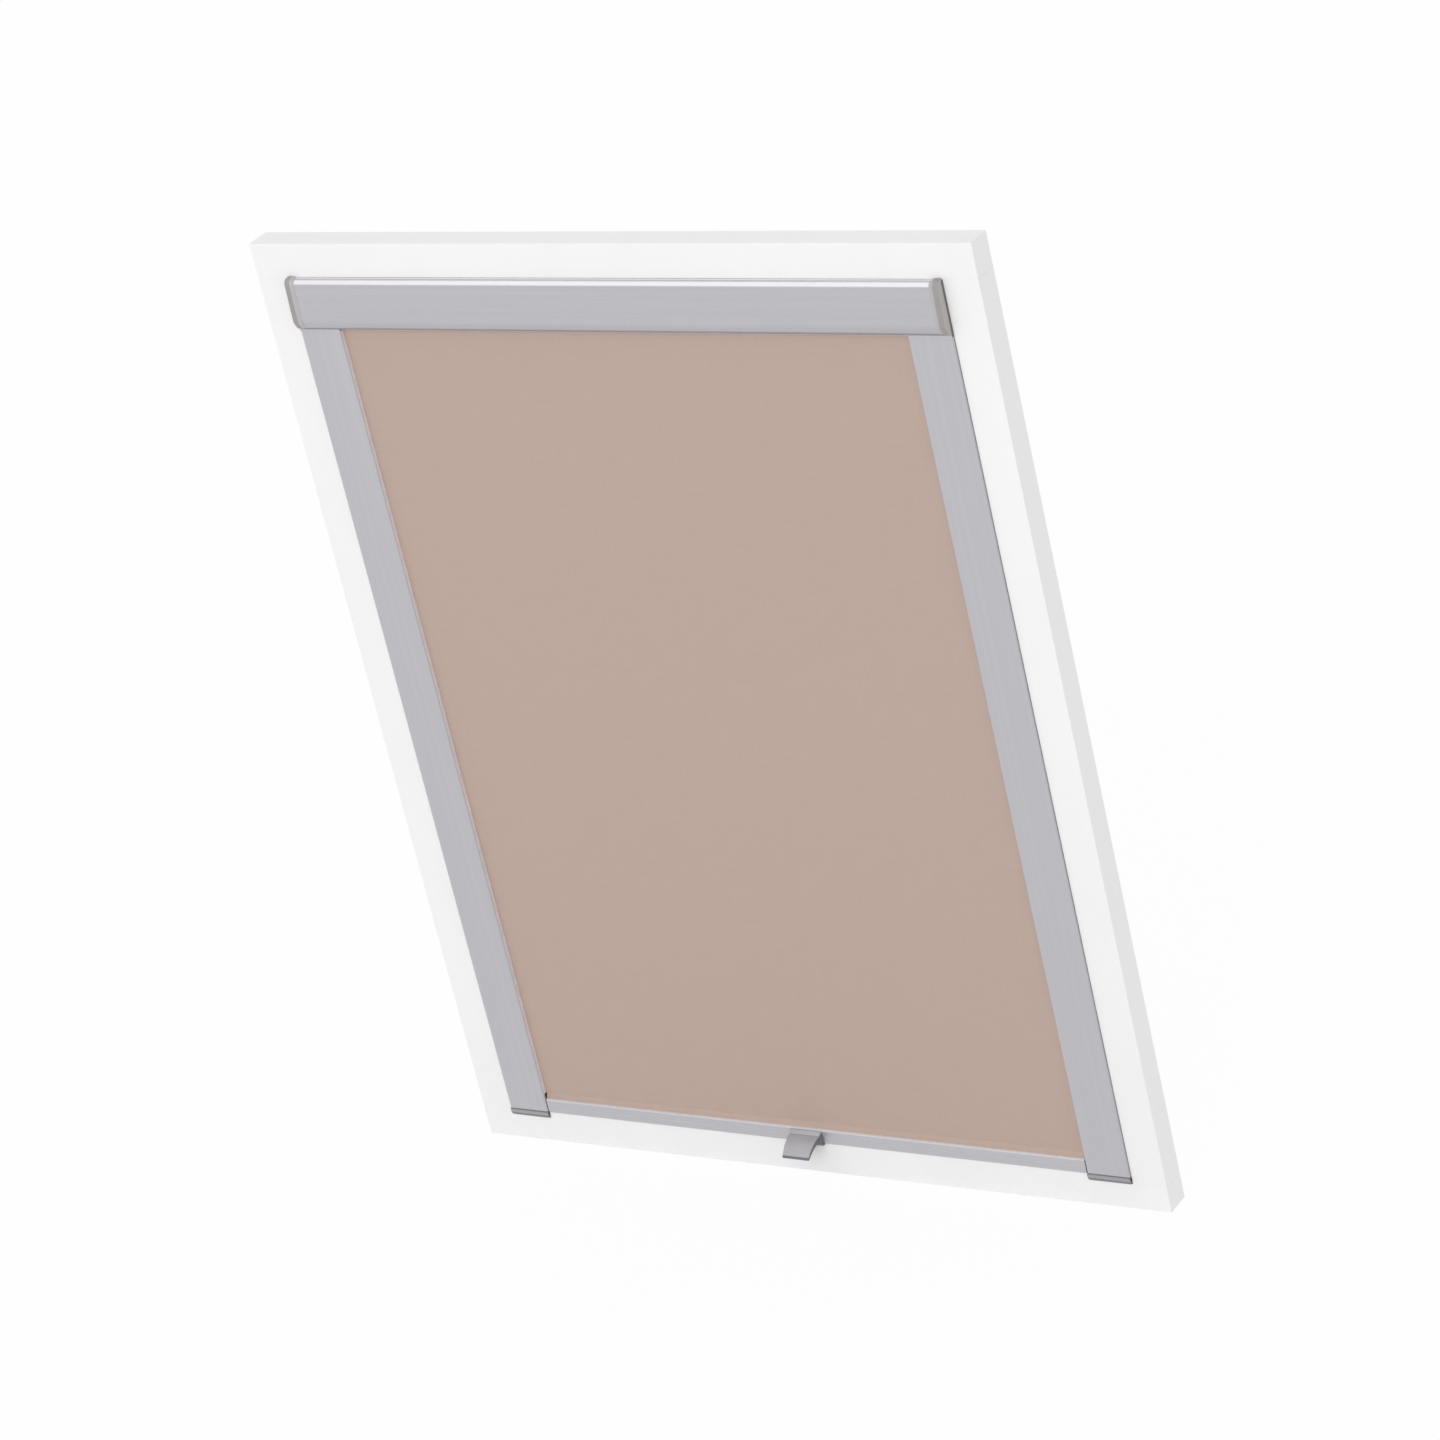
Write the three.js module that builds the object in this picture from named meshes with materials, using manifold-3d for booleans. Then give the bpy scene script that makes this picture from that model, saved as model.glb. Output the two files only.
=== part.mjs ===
// Roof-window roller blind in its white surround: a cassette with a sprung roller, two side rails
// with guide slots, a bottom bar on sliding shoes with a pull handle, and the blackout cloth.
// Millimetres, +Z up along the rails, front towards -Y. The origin is the middle of the surround's
// underside. Rest is the closed blind, with the bar at the foot of the rails.
import * as THREE from "three";
import { mergeVertices } from "three/addons/utils/BufferGeometryUtils.js";
import Module from "manifold-3d";

const wasm = await Module();
wasm.setup();

// Surround
const SURROUND_WIDTH = 780;
const SURROUND_HEIGHT = 980;
const SURROUND_DEPTH = 28;
const SIDE_BORDER = 36;
const HEAD_BORDER = 34;
const FOOT_BORDER = 27.4;
const SILL_LEDGE_HEIGHT = 25;

// Clearances
const SEAT_GAP = 0.3;
const RUN_GAP = 0.5;
const CUT_OVERRUN = 1;

// Side rails
const RAIL_WIDTH = 45.5;
const RAIL_DEPTH = 11;
const RAIL_WALL = 1.3;
const RAIL_EDGE_RADIUS = 0.9;
const RAIL_INNER_RADIUS = 1.8;
const SLOT_DEPTH = 16.5;
const SLOT_LIP = 1.2;
const LIP_WIDTH = 1.5;
const BRUSH_POCKET = 4.5;
const BRUSH_RIB = 1.2;
const BRUSH_BACKING = 0.9;
const BRUSH_PILE = 0.9;
const PILE_INSET = 0.6;
const RAIL_CAP_HEIGHT = 8.2;
const RAIL_CAP_PROUD = 0.4;
const RAIL_CAP_BEVEL_RUN = 2;
const RAIL_CAP_BEVEL_RISE = 3.6;
const RAIL_CAP_CORNER = 1.6;
const RAIL_PLUG_LENGTH = 12;
const RAIL_SCREW_RADIUS = 1.6;
const RAIL_SCREW_LENGTH = 42;
const RAIL_SCREW_HEAD_RADIUS = 3.3;
const RAIL_SCREW_HEAD = 1.9;
const RAIL_SCREW_HEIGHT_SHARES = [0.08, 0.5, 0.92];

// Cassette
const CASSETTE_HEIGHT = 54;
const CASSETTE_PROUD = 7.5;
const CASSETTE_WALL = 1.3;
const CASSETTE_BEND_RADIUS = 2;
const CROWN_RADIUS = 5;
const FACE_RAKE = 1.8;
const CHIN_HEIGHT = 12.5;
const CHIN_DEPTH = 9.4;
const CHIN_RADIUS = 8;
const JOWL_HEIGHT = 4.4;
const JOWL_DEPTH = 4.2;
const CHIN_BEAD_RADIUS = 0.8;
const COVER_TOP_DEPTH = 22.5;
const CAP_THICKNESS = 6.2;
const CAP_PROUD = 0.6;
const CAP_EDGE = 0.8;
const CAP_BACK_CORNER = 1.6;
const CAP_FACE = 1.6;
const CAP_CORNER = 3;
const CAP_SPIGOT = 9;
const CAP_SPIGOT_WALL = 1.6;
const CAP_HUB_RADIUS = 6;
const CAP_HUB_LENGTH = 8;
const CAP_TONGUE_LENGTH = 12;
const CAP_TONGUE_WIDTH = 3.7;
const PORT_RADIUS = 2.9;
const PORT_BORE = 1.6;
const PORT_INSET = 4.7;
const CAP_SCREW_RADIUS = 1.3;
const CAP_SCREW_LENGTH = 15;
const CAP_SCREW_HEAD_RADIUS = 2.8;
const CAP_SCREW_HEAD = 1.8;
const CHANNEL_TOP_DROP = 1.6;
const CHANNEL_HEIGHT = 1.8;
const CHANNEL_LIP = 2.2;
const TONGUE_REACH = 5.5;
const BRACKET_LENGTH = 48;
const BRACKET_PLACE_SHARE = 0.72;
const BRACKET_SCREW_RADIUS = 1.7;
const BRACKET_SCREW_LENGTH = 18;
const BRACKET_SCREW_HEAD_RADIUS = 2.6;
const BRACKET_SCREW_HEAD = 1.7;
const EXIT_BRUSH_WIDTH = 3.2;
const EXIT_BRUSH_HEIGHT = 2.4;

// Roller
const ROLLER_RISE = 27;
const TUBE_RADIUS = 8.5;
const TUBE_WALL = 0.9;
const TUBE_END_GAP = 12.5;
const KEY_WIDTH = 3.4;
const KEY_DEPTH = 1.4;
const KEY_WALL = 0.8;
const KEY_MOUTH = 1.4;
const PLUG_LENGTH = 18;
const PLUG_FLANGE = 1.5;
const AXLE_RADIUS = 2.5;
const IDLE_PIN_LENGTH = 24;
const IDLE_PIN_COLLAR = 3.4;
const CORE_ROD_LENGTH = 300;
const CORE_SQUARE = 3.8;
const SPRING_RADIUS = 4.1;
const SPRING_WIRE = 0.9;
const SPRING_TURNS = 30;
const SPRING_COLLAR_LENGTH = 12;
const SPRING_COLLAR_WALL = 1.8;

// Cloth
const CLOTH_SETBACK = 3;
const CLOTH_THICKNESS = 0.3;
const CLOTH_EDGE_IN_SLOT = 12.5;
const WRAP_GAP = 0.42;
const WRAPS = 1.5;

// Bottom bar
const BAR_HEIGHT = 15.5;
const BAR_DEPTH = 9.6;
const BAR_LIFT = 6.5;
const BAR_SETBACK = 1;
const BAR_WALL = 1.2;
const BAR_RADIUS = 1.8;
const BAR_SCORE_WIDTH = 0.8;
const BAR_SCORE_DEPTH = 0.4;
const BAR_END_GAP = 0.9;
const GROOVE_MOUTH = 1.2;
const GROOVE_WIDTH = 4;
const GROOVE_DEPTH = 3.8;
const SPLINE_RADIUS = 1.5;
const SHOE_HEIGHT = 18.6;
const SHOE_LIFT = 1;
const SHOE_FLANGE = 5.9;
const SHOE_NECK = 4;
const SHOE_SPIGOT = 32;
const SHOE_CORNER = 1.2;
const PAD_HEIGHT = 12;
const PAD_WIDTH = 3.4;
const PAD_THICKNESS = 1.5;
const PAD_POCKET = 2.3;
const LEAF_THICKNESS = 0.3;
const LEAF_RISE = 0.4;

// Pull handle
const HANDLE_WIDTH = 36;
const HANDLE_WALL = 1.1;
const HANDLE_TOP_INSET = 1;
const FACET_REACH = 4.5;
const FACET_DROP = 2.8;
const KNUCKLE_REACH = 5.4;
const KNUCKLE_DROP = 9.4;
const SHIN_REACH = 2.3;
const FOOT_REACH = 1.7;
const FOOT_DROP = 14.9;
const VISOR_WIDTH = 33.4;
const VISOR_LIP_WIDTH = 29.8;
const VISOR_REACH = 27.7;
const VISOR_DROP = 15.1;
const VISOR_BEND_REACH = 17;
const VISOR_BEND_DROP = 3.6;
const VISOR_THICKNESS = 1.9;
const PEG_RADIUS = 1.4;
const PEG_BARB = 0.4;
const PEG_SPACING = 18;

// Smoothness of curves
const CURVE_STEPS = 6;
const ROUND_SIDES = 24;
const SCREW_SIDES = 12;
const WRAP_STEPS = 24;
const SPRING_STEPS = 8;
const SPRING_SIDES = 5;
const MERGE_TOLERANCE = 1e-4;

// Places that the sizes above lead to
const surroundHalf = SURROUND_WIDTH / 2;
const front = -SURROUND_DEPTH / 2;
const back = SURROUND_DEPTH / 2;
const blindHalf = surroundHalf - SIDE_BORDER;
const clothY = front + CLOTH_SETBACK;

const railInner = blindHalf - RAIL_WIDTH;
const railFront = clothY - RAIL_DEPTH / 2;
const railBack = clothY + RAIL_DEPTH / 2;
const slotHalf = RAIL_DEPTH / 2 - RAIL_WALL;
const mouthHalf = slotHalf - SLOT_LIP;
const slotEnd = railInner + SLOT_DEPTH;
const chamberStart = slotEnd + RAIL_WALL;
const chamberEnd = blindHalf - RAIL_WALL;
const railCapBottom = FOOT_BORDER;
const railBottom = railCapBottom + RAIL_CAP_HEIGHT;
const ledgeFront = railBack + SEAT_GAP;

const cassetteTop = SURROUND_HEIGHT - HEAD_BORDER;
const cassetteBottom = cassetteTop - CASSETTE_HEIGHT;
const cassetteFront = front - CASSETTE_PROUD;
const cassetteBack = back;
const railTop = cassetteBottom - SEAT_GAP;
const capInner = blindHalf - CAP_THICKNESS;
const coverEnd = capInner - SEAT_GAP;
const backWallInner = cassetteBack - CASSETTE_WALL;
const coverRear = cassetteFront + COVER_TOP_DEPTH;
const lipTop = cassetteTop - CHANNEL_TOP_DROP;
const lipUnder = lipTop - CASSETTE_WALL;
const channelFloor = lipUnder - CHANNEL_HEIGHT;
const channelFront = coverRear + CASSETTE_WALL;
const mouthFront = channelFront + CHANNEL_LIP;
const mouthBack = backWallInner - CHANNEL_LIP;
const channelMiddle = (mouthFront + mouthBack) / 2;
const portY = cassetteBack - PORT_INSET;
const portHigh = channelFloor - CASSETTE_WALL - PORT_RADIUS + SEAT_GAP;
const portLow = cassetteBottom + CASSETTE_WALL + PORT_RADIUS - SEAT_GAP;

const wrapPitch = CLOTH_THICKNESS + WRAP_GAP;
const restRadius = TUBE_RADIUS + SEAT_GAP + wrapPitch * WRAPS + CLOTH_THICKNESS / 2;
const rollerY = clothY + restRadius;
const rollerZ = cassetteBottom + ROLLER_RISE;
const tubeHalf = capInner - TUBE_END_GAP;
const clothHalf = railInner + CLOTH_EDGE_IN_SLOT;
const boreRadius = TUBE_RADIUS - TUBE_WALL;

const barBottom = railCapBottom + BAR_LIFT;
const barTop = barBottom + BAR_HEIGHT;
const barFront = railFront + BAR_SETBACK;
const barBack = barFront + BAR_DEPTH;
const barHalf = railInner - BAR_END_GAP;
const grooveTop = barTop - BAR_WALL;
const grooveFloor = grooveTop - GROOVE_DEPTH;
const chamberTop = grooveFloor - BAR_WALL;
const chamberFloor = barBottom + BAR_WALL;
const splineZ = grooveFloor + SEAT_GAP + SPLINE_RADIUS;
const shoeInner = railInner + LIP_WIDTH + BRUSH_POCKET + BRUSH_RIB + RUN_GAP;
const shoeBottom = railBottom + SHOE_LIFT;
const sillTop = barBottom - SEAT_GAP;

// Materials
function finish(color, roughness, metalness) {
  return new THREE.MeshStandardMaterial({ color, roughness, metalness, flatShading: true });
}
const palette = {
  whitePaint: () => finish(0xf4f4f4, 0.55, 0),
  anodised: () => finish(0xbab8be, 0.38, 0.6),
  greyPlastic: () => finish(0x9c9894, 0.5, 0),
  handlePlastic: () => finish(0xafaeb3, 0.42, 0),
  cloth: () => finish(0xbca89b, 0.85, 0),
  steel: () => finish(0x8f9297, 0.35, 0.9),
  pile: () => finish(0x77757a, 0.95, 0),
  bearing: () => finish(0xe6e4df, 0.45, 0),
  shoe: () => finish(0x4d4c50, 0.5, 0),
  pad: () => finish(0x3a3a3c, 0.9, 0),
};

// Solid helpers
const AXIS_X = new THREE.Vector3(1, 0, 0);
const AXIS_Y = new THREE.Vector3(0, 1, 0);
const AXIS_Z = new THREE.Vector3(0, 0, 1);
const SECTION_YZ = new THREE.Matrix4().makeBasis(AXIS_Y, AXIS_Z, AXIS_X);
const SECTION_XZ = new THREE.Matrix4().makeBasis(AXIS_X, AXIS_Z, AXIS_Y.clone().negate());
const TURN_TO_X = new THREE.Matrix4().makeRotationZ(-Math.PI / 2);
const TURN_TO_Z = new THREE.Matrix4().makeRotationX(Math.PI / 2);

function solidOf(geometry) {
  geometry.deleteAttribute("normal");
  geometry.deleteAttribute("uv");
  const merged = mergeVertices(geometry, MERGE_TOLERANCE);
  return new wasm.Manifold(
    new wasm.Mesh({
      numProp: 3,
      vertProperties: merged.attributes.position.array,
      triVerts: new Uint32Array(merged.index.array),
    }),
  );
}

function geometryOf(solid) {
  const mesh = solid.getMesh();
  const geometry = new THREE.BufferGeometry();
  geometry.setAttribute("position", new THREE.BufferAttribute(mesh.vertProperties, 3));
  geometry.setIndex(new THREE.BufferAttribute(mesh.triVerts, 1));
  const faceted = geometry.toNonIndexed();
  faceted.computeVertexNormals();
  return faceted;
}

function extruded(shape, depth, options = {}) {
  const settings = { depth, bevelEnabled: false, curveSegments: CURVE_STEPS, ...options };
  return new THREE.ExtrudeGeometry(shape, settings);
}

// A section drawn in (y, z), run along X
function alongX(shape, from, to, options) {
  const geometry = extruded(shape, to - from, options).translate(0, 0, from);
  return solidOf(geometry.applyMatrix4(SECTION_YZ));
}

// A section drawn in (x, y), run up Z
function alongZ(shape, from, to) {
  return solidOf(extruded(shape, to - from).translate(0, 0, from));
}

// An outline drawn in (x, z), run back along Y
function alongY(shape, from, to) {
  const geometry = extruded(shape, to - from).translate(0, 0, -to);
  return solidOf(geometry.applyMatrix4(SECTION_XZ));
}

function block([x0, x1], [y0, y1], [z0, z1]) {
  const geometry = new THREE.BoxGeometry(x1 - x0, y1 - y0, z1 - z0);
  geometry.translate((x0 + x1) / 2, (y0 + y1) / 2, (z0 + z1) / 2);
  return solidOf(geometry);
}

function rodAlongX(radius, [from, to], y, z, sides = ROUND_SIDES) {
  const geometry = new THREE.CylinderGeometry(radius, radius, to - from, sides);
  geometry.applyMatrix4(TURN_TO_X).translate((from + to) / 2, y, z);
  return solidOf(geometry);
}

function rodAlongY(radius, [from, to], x, z, sides = SCREW_SIDES) {
  const geometry = new THREE.CylinderGeometry(radius, radius, to - from, sides);
  geometry.translate(x, (from + to) / 2, z);
  return solidOf(geometry);
}

function rodAlongZ(radius, [from, to], x, y, sides = SCREW_SIDES) {
  const geometry = new THREE.CylinderGeometry(radius, radius, to - from, sides);
  geometry.applyMatrix4(TURN_TO_Z).translate(x, y, (from + to) / 2);
  return solidOf(geometry);
}

function joined(first, ...others) {
  return others.reduce((whole, piece) => whole.add(piece), first);
}

function cut(body, ...tools) {
  return tools.reduce((rest, tool) => rest.subtract(tool), body);
}

const point = (x, y) => new THREE.Vector2(x, y);
const outline = (points) => new THREE.Shape(points);

function rectangle([x0, x1], [y0, y1]) {
  return outline([point(x0, y0), point(x1, y0), point(x1, y1), point(x0, y1)]);
}

// Corners written as [x, y, radius]; each corner with a radius becomes an arc
function rounded(corners, closed) {
  const path = [];
  const count = corners.length;
  corners.forEach(([x, y, radius = 0], index) => {
    const here = point(x, y);
    const end = !closed && (index === 0 || index === count - 1);
    if (end || radius === 0) {
      path.push(here);
      return;
    }
    const [px, py] = corners[(index + count - 1) % count];
    const [nx, ny] = corners[(index + 1) % count];
    const before = point(px, py).sub(here).normalize();
    const after = point(nx, ny).sub(here).normalize();
    const half = Math.acos(THREE.MathUtils.clamp(before.dot(after), -1, 1)) / 2;
    const tangent = radius / Math.tan(half);
    const start = here.clone().addScaledVector(before, tangent);
    const bisector = before.clone().add(after).normalize();
    const centre = here.clone().addScaledVector(bisector, radius / Math.sin(half));
    const sweep = Math.PI - 2 * half;
    const turn = Math.sign(before.y * after.x - before.x * after.y);
    for (let step = 0; step <= CURVE_STEPS; step++) {
      path.push(start.clone().rotateAround(centre, (turn * sweep * step) / CURVE_STEPS));
    }
  });
  return path;
}

// The path moved sideways by a distance, to the right of its direction when positive
function shifted(path, distance) {
  return path.map((here, index) => {
    const before = path[Math.max(index - 1, 0)];
    const after = path[Math.min(index + 1, path.length - 1)];
    const into = (index === 0 ? after.clone().sub(here) : here.clone().sub(before)).normalize();
    const out = (index === path.length - 1 ? into.clone() : after.clone().sub(here)).normalize();
    const side = point(into.y + out.y, -into.x - out.x).divideScalar(1 + into.dot(out));
    return here.clone().addScaledVector(side, distance);
  });
}

// A sheet of even thickness that follows a path, lying to its right
function sheet(path, thickness) {
  return outline([...path, ...shifted(path, thickness).reverse()]);
}

// Screws along +Y, with the head's underside at the origin and a point that tapers over a
// length of one diameter
function screw(radius, length, headProfile) {
  const shank = [point(radius, 0), point(radius, length - 2 * radius), point(0, length)];
  return new THREE.LatheGeometry([...headProfile, ...shank], SCREW_SIDES);
}

function panScrew(radius, length, headRadius, headHeight) {
  return screw(radius, length, [
    point(0, -headHeight),
    point(headRadius - headHeight / 3, -headHeight),
    point(headRadius, -headHeight / 2),
    point(headRadius, 0),
  ]);
}

function countersunkScrew(radius, length, headRadius, headHeight) {
  return screw(radius, length, [point(0, -headHeight), point(headRadius, -headHeight)]);
}

// Scene graph
const blind = new THREE.Group();
const rightSide = new THREE.Group();
const leftSide = new THREE.Group();
leftSide.scale.x = -1;
blind.add(rightSide, leftSide);

function place(name, solid, material, parent = blind) {
  const mesh = new THREE.Mesh(geometryOf(solid), material());
  mesh.name = name;
  parent.add(mesh);
  return mesh;
}

function placeBothSides(name, solid, material) {
  place(`right_${name}`, solid, material, rightSide);
  place(`left_${name}`, solid, material, leftSide);
}

function placeScrew(name, geometry, position, turn, parent) {
  const mesh = new THREE.Mesh(geometry, palette.steel());
  mesh.name = name;
  mesh.position.set(...position);
  mesh.rotation.set(...turn);
  parent.add(mesh);
}

// Surround: a sill and a head run through, and the stiles stand between them. The stiles and
// the sill carry a rebated ledge that the rails and the bar lie in front of.
const railScrewHeights = RAIL_SCREW_HEIGHT_SHARES.map(
  (share) => railBottom + share * (railTop - railBottom),
);
const railScrewHole = RAIL_SCREW_RADIUS + SEAT_GAP;
const railScrewEnd = slotEnd + RAIL_SCREW_LENGTH;

function makeSurround() {
  const sillUnderCaps = railCapBottom - SEAT_GAP;
  const headUnder = cassetteTop + SEAT_GAP;
  const stileInner = blindHalf + SEAT_GAP;
  const ledgeInner = railInner;
  const ledgeTop = sillTop + SILL_LEDGE_HEIGHT;
  const sill = joined(
    block([-surroundHalf, surroundHalf], [front, back], [0, sillUnderCaps]),
    block([-ledgeInner, ledgeInner], [front, back], [0, sillTop]),
    block([-ledgeInner, ledgeInner], [ledgeFront, back], [0, ledgeTop]),
  );
  place("surround_sill", sill, palette.whitePaint);

  const stileSection = outline([
    point(stileInner, front),
    point(surroundHalf, front),
    point(surroundHalf, back),
    point(ledgeInner, back),
    point(ledgeInner, ledgeFront),
    point(stileInner, ledgeFront),
  ]);
  const cassettePocket = block(
    [0, stileInner],
    [front - CUT_OVERRUN, back + CUT_OVERRUN],
    [railTop, headUnder + CUT_OVERRUN],
  );
  const pilotHoles = railScrewHeights.map((z) =>
    rodAlongX(
      railScrewHole,
      [stileInner - CUT_OVERRUN, railScrewEnd + CUT_OVERRUN],
      clothY,
      z,
      SCREW_SIDES,
    ),
  );
  const stile = cut(alongZ(stileSection, sillUnderCaps, headUnder), cassettePocket, ...pilotHoles);
  placeBothSides("stile", stile, palette.whitePaint);

  const bracketX = BRACKET_PLACE_SHARE * coverEnd;
  const bracketHole = BRACKET_SCREW_RADIUS + SEAT_GAP;
  const bracketHoles = [-bracketX, bracketX].map((x) =>
    rodAlongZ(
      bracketHole,
      [headUnder - CUT_OVERRUN, headUnder + BRACKET_SCREW_LENGTH],
      x,
      channelMiddle,
    ),
  );
  const head = cut(
    block([-surroundHalf, surroundHalf], [front, back], [headUnder, SURROUND_HEIGHT]),
    ...bracketHoles,
  );
  place("surround_head", head, palette.whitePaint);
}

// Side rails: an extrusion with a guide slot towards the cloth, two lips, a brush pocket and a
// closed outer chamber, with a moulded cap at its foot.
function makeRails() {
  const pocketStart = railInner + LIP_WIDTH;
  const pocketEnd = pocketStart + BRUSH_POCKET;
  const ribEnd = pocketEnd + BRUSH_RIB;
  const slotSteps = (sign) => [
    [railInner, clothY + sign * mouthHalf],
    [pocketStart, clothY + sign * mouthHalf],
    [pocketStart, clothY + sign * slotHalf],
    [pocketEnd, clothY + sign * slotHalf],
    [pocketEnd, clothY + sign * mouthHalf],
    [ribEnd, clothY + sign * mouthHalf],
    [ribEnd, clothY + sign * slotHalf],
    [slotEnd, clothY + sign * slotHalf],
  ];
  const section = outline(
    rounded(
      [
        [railInner, railFront, RAIL_INNER_RADIUS],
        [blindHalf, railFront, RAIL_EDGE_RADIUS],
        [blindHalf, railBack, RAIL_EDGE_RADIUS],
        [railInner, railBack, RAIL_EDGE_RADIUS],
        ...slotSteps(1),
        ...slotSteps(-1).reverse(),
      ],
      true,
    ),
  );
  const chamber = block(
    [chamberStart, chamberEnd],
    [clothY - slotHalf, clothY + slotHalf],
    [railBottom - CUT_OVERRUN, railTop + CUT_OVERRUN],
  );
  const screwHoles = railScrewHeights.map((z) =>
    rodAlongX(
      railScrewHole,
      [slotEnd - CUT_OVERRUN, blindHalf + CUT_OVERRUN],
      clothY,
      z,
      SCREW_SIDES,
    ),
  );
  const rail = cut(alongZ(section, railBottom, railTop), chamber, ...screwHoles);
  placeBothSides("side_rail", rail, palette.anodised);

  // Brushes: a backing strip in the pocket and a narrower pile towards the cloth
  for (const [name, sign] of [["front", -1], ["back", 1]]) {
    const wall = clothY + sign * (slotHalf - SEAT_GAP / 2);
    const backingFace = wall - sign * BRUSH_BACKING;
    const pileFace = backingFace - sign * BRUSH_PILE;
    const low = pocketStart + SEAT_GAP;
    const high = pocketEnd - SEAT_GAP;
    const strip = outline([
      point(low, wall),
      point(low, backingFace),
      point(low + PILE_INSET, backingFace),
      point(low + PILE_INSET, pileFace),
      point(high - PILE_INSET, pileFace),
      point(high - PILE_INSET, backingFace),
      point(high, backingFace),
      point(high, wall),
    ]);
    placeBothSides(`rail_${name}_brush`, alongZ(strip, railBottom, railTop), palette.pile);
  }

  // Foot cap: a bevelled plate across the rail, a plug in the chamber and a stop under the shoe
  const capFront = railFront - RAIL_CAP_PROUD;
  const capTop = railBottom - SEAT_GAP;
  const capSection = outline([
    point(capFront, capTop),
    point(capFront, railCapBottom + RAIL_CAP_BEVEL_RISE),
    point(capFront + RAIL_CAP_BEVEL_RUN, railCapBottom),
    point(railBack, railCapBottom),
    point(railBack, capTop),
  ]);
  const plugHalf = slotHalf - SEAT_GAP;
  const plug = cut(
    block(
      [chamberStart + SEAT_GAP, chamberEnd - SEAT_GAP],
      [clothY - plugHalf, clothY + plugHalf],
      [railCapBottom + RAIL_CAP_BEVEL_RISE, capTop + RAIL_PLUG_LENGTH],
    ),
    block(
      [chamberStart + SEAT_GAP + RAIL_WALL, chamberEnd - SEAT_GAP - RAIL_WALL],
      [clothY - plugHalf + RAIL_WALL, clothY + plugHalf - RAIL_WALL],
      [capTop, capTop + RAIL_PLUG_LENGTH + CUT_OVERRUN],
    ),
  );
  const stop = block(
    [ribEnd + SEAT_GAP, slotEnd - SEAT_GAP],
    [clothY - plugHalf, clothY + plugHalf],
    [railCapBottom + RAIL_CAP_BEVEL_RISE, shoeBottom - SEAT_GAP],
  );
  const capFace = outline(
    rounded(
      [
        [railInner, railCapBottom, RAIL_CAP_CORNER],
        [blindHalf, railCapBottom, RAIL_CAP_CORNER],
        [blindHalf, capTop],
        [railInner, capTop],
      ],
      true,
    ),
  );
  const capPlate = alongX(capSection, railInner, blindHalf).intersect(
    alongY(capFace, capFront - CUT_OVERRUN, railBack + CUT_OVERRUN),
  );
  placeBothSides("rail_foot_cap", joined(capPlate, plug, stop), palette.greyPlastic);

  const railScrew = panScrew(
    RAIL_SCREW_RADIUS,
    RAIL_SCREW_LENGTH,
    RAIL_SCREW_HEAD_RADIUS,
    RAIL_SCREW_HEAD,
  );
  for (const [side, parent] of [["right", rightSide], ["left", leftSide]]) {
    railScrewHeights.forEach((z, index) => {
      const position = [slotEnd - SEAT_GAP / 2, clothY, z];
      placeScrew(`${side}_rail_screw_${index + 1}`, railScrew, position, [0, 0, -Math.PI / 2], parent);
    });
  }
}

// Cassette section: a rounded crown, a front that leans out to the chin, and the chin's curve
// back to the cloth's exit. Corners are [y, z, radius], from the exit up to the crown.
function frontCorners(proud, lipRadius) {
  const face = cassetteFront - proud;
  const chin = face - FACE_RAKE;
  return [
    [face + CHIN_DEPTH, cassetteBottom, lipRadius],
    [chin + JOWL_DEPTH, cassetteBottom + JOWL_HEIGHT, CHIN_RADIUS],
    [chin, cassetteBottom + CHIN_HEIGHT, CHIN_RADIUS],
    [face, cassetteTop, CROWN_RADIUS],
  ];
}

// The cover's line can be drawn further in, with its corners' radii less by as much
function coverPath(inset) {
  const corners = [...frontCorners(0, 0), [coverRear, cassetteTop, 0]];
  const moved = shifted(corners.map(([y, z]) => point(y, z)), inset);
  return rounded(
    moved.map(({ x, y }, index) => [x, y, Math.max(corners[index][2] - inset, 0)]),
    false,
  );
}

function coverBand(inset, thickness) {
  return outline([...coverPath(inset), ...coverPath(inset + thickness).reverse()]);
}

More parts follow.
